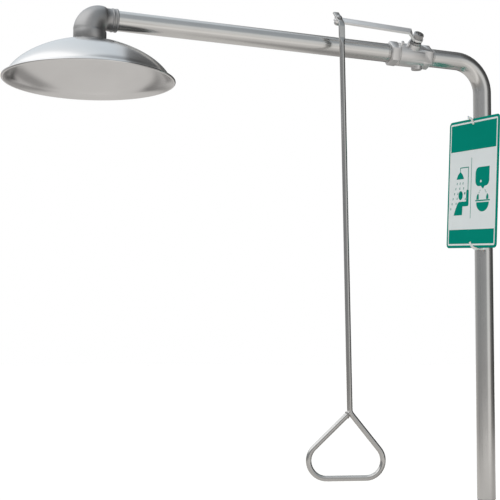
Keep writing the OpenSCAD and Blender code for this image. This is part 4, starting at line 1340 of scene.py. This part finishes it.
def tie_stations(up):
    """The closed run of a tie's strap: (place, width way) points in the sign's height frame."""
    hole, over, hole_meet, over_meet = tie_spots(up)
    ring_z = hole.z + up * HOLE_IN / 2
    mid_r = TIE_R + TIE_T / 2
    front_x = -(SIGN_BACK + SIGN_T + 0.3 * MM + TIE_T / 2)
    first, last = (hole, over) if hole_meet > over_meet else (over, hole)
    begin, end = max(hole_meet, over_meet), 2 * math.pi + min(hole_meet, over_meet)
    run = []
    for i in range(41):
        t = begin + (end - begin) * i / 40
        run.append((Vector((-mid_r * math.cos(t), -mid_r * math.sin(t), ring_z)), Z))
    ring_out, ring_in = run[-1][0], run[0][0]
    for i in range(1, 5):
        run.append((ring_out.lerp(last, i / 5), (Z * (1 - i / 5) + Y * i / 5).normalized()))
    hole_front, over_front = Vector((front_x, hole.y, hole.z)), Vector((front_x, over.y, over.z))
    bow = Vector((front_x, hole.y * 0.75 + over.y * 0.25, over.z))
    run += [(last, Y), (last.lerp(Vector((front_x, last.y, last.z)), 0.8), Y)]
    ends = (over_front, hole_front) if last is over else (hole_front, over_front)
    for i in range(13):
        s = i / 12
        run.append((ends[0] * (1 - s) ** 2 + bow * (2 * s * (1 - s)) + ends[1] * s ** 2, Y))
    run += [(first.lerp(Vector((front_x, first.y, first.z)), 0.8), Y), (first, Y)]
    for i in range(1, 5):
        run.append((first.lerp(ring_in, i / 5), (Y * (1 - i / 5) + Z * i / 5).normalized()))
    return run, over_front, ring_z


def tie_mesh(up, name):
    """A tie: its strap round the pipe and through the sign, its head behind the pipe and its free tail."""
    run, over_front, ring_z = tie_stations(up)
    place = Matrix.Translation((0, 0, ARM_Z - SIGN_DROP))
    count = len(run)
    bm = bmesh.new()
    rings, hold = [], None
    for i, (point, wide) in enumerate(run):
        way = (run[(i + 1) % count][0] - run[i - 1][0]).normalized()
        wide = (wide - way * wide.dot(way)).normalized()
        if hold is not None and wide.dot(hold) < 0:
            wide = -wide
        hold = wide
        thin = way.cross(wide)
        w, t = TIE_W / 2, TIE_T / 2
        section = [(w, t * 0.5), (w * 0.86, t), (-w * 0.86, t), (-w, t * 0.5),
                   (-w, -t * 0.5), (-w * 0.86, -t), (w * 0.86, -t), (w, -t * 0.5)]
        rings.append([place @ (point + wide * x + thin * y) for x, y in section])
    loft(bm, rings, loop=True)
    behind = place @ Matrix.Rotation(TIE_HEAD_TURN, 4, "Z")
    head = []
    for s, pad in ((0, 0.0), (0.85, 0.0), (1.0, 0.6)):
        w, h = (4.0 - pad) * MM, (3.5 - pad) * MM
        x = TIE_R + TIE_T / 2 + 5.4 * MM * s
        head.append([behind @ Vector((x, a, ring_z + b)) for a, b in
                     ((w, -h * 0.8), (w, h * 0.8), (w * 0.8, h), (-w * 0.8, h), (-w, h * 0.8), (-w, -h * 0.8),
                      (-w * 0.8, -h), (w * 0.8, -h))])
    loft(bm, head)
    tail = []
    for i in range(9):
        s = i / 8
        if up > 0:
            centre = over_front + Vector((0.2 * MM, 0, 0)) + Vector((0, 3.0 * s, 7 * s - 2.5 * s * s)) * MM
            across, thick = Y * TIE_W / 2, X * 0.5 * MM
        else:
            centre = over_front + Vector((1.8 * MM, -26 * MM * s, (-1.6 + 2.4 * s - 2.0 * s * s) * MM))
            across, thick = (Z * (0.2 + 0.5 * s) + X * (1 - s)).normalized() * TIE_W / 2, Z * 0.5 * MM
            thick = (thick - across.normalized() * thick.dot(across.normalized())).normalized() * 0.5 * MM
        corners = (across + thick, across - thick, -across - thick, -across + thick)
        tail.append([place @ (centre + corner) for corner in corners])
    loft(bm, tail)
    bmesh.ops.recalc_face_normals(bm, faces=bm.faces)
    return finish_mesh(bm, name, [tie_nylon()], angle=40)


class SHOWER_OT_ties(bpy.types.Operator):
    """Make the two nylon ties that hold the sign on the standpipe"""
    bl_idname = "shower.ties"
    bl_label = "Cable ties"

    def execute(self, context):
        for up, node, name in ((1, "cable_tie_top", "tie_top"), (-1, "cable_tie_bottom", "tie_bottom")):
            place_piece(tie_mesh(up, name), name, "frame", "tie_nylon", [node])
        return {"FINISHED"}


class SHOWER_OT_inner_parts(bpy.types.Operator):
    """Give the CAD parts that stay as they are their finishes"""
    bl_idname = "shower.inner_parts"
    bl_label = "Inner parts"

    def execute(self, context):
        for node, material in (
                ("head_nipple", bolt_steel()), ("head_gasket", rubber()), ("flow_control", brass()),
                ("deflector_spacer", bolt_steel()), ("body_seal", ptfe()), ("inlet_seat", ptfe()),
                ("outlet_seat", ptfe()), ("valve_ball", ball_steel()), ("valve_stem", bolt_steel()),
                ("thrust_washer", ptfe()), ("stem_packing", ptfe())):
            dress(node, material)
        return {"FINISHED"}


OPERATORS = (SHOWER_OT_stage, SHOWER_OT_pipes, SHOWER_OT_elbow, SHOWER_OT_bowl, SHOWER_OT_head_fittings,
             SHOWER_OT_valve, SHOWER_OT_lever, SHOWER_OT_rod, SHOWER_OT_handle, SHOWER_OT_sign,
             SHOWER_OT_ties, SHOWER_OT_inner_parts)


class SHOWER_PT_panel(bpy.types.Panel):
    """Lists the pieces and their sizes"""
    bl_idname = "SHOWER_PT_panel"
    bl_label = "Safety shower"
    bl_space_type = "VIEW_3D"
    bl_region_type = "UI"
    bl_category = "Shower"

    def draw(self, context):
        for operator in OPERATORS:
            self.layout.operator(operator.bl_idname)
        for settings in (context.scene.shower_sizes, context.scene.shower_finish):
            box = self.layout.box()
            for key in settings.__annotations__:
                box.prop(settings, key)


def register():
    for item in (ShowerSizes, ShowerFinish, *OPERATORS, SHOWER_PT_panel):
        bpy.utils.register_class(item)
    bpy.types.Scene.shower_sizes = PointerProperty(type=ShowerSizes)
    bpy.types.Scene.shower_finish = PointerProperty(type=ShowerFinish)


def unregister():
    del bpy.types.Scene.shower_finish
    del bpy.types.Scene.shower_sizes
    for item in (SHOWER_PT_panel, *reversed(OPERATORS), ShowerFinish, ShowerSizes):
        bpy.utils.unregister_class(item)


def main():
    register()
    for operator in OPERATORS:
        group_name, call = operator.bl_idname.split(".")
        if getattr(getattr(bpy.ops, group_name), call)() != {"FINISHED"}:
            raise RuntimeError("could not finish: " + operator.bl_label)


if __name__ == "__main__":
    main()
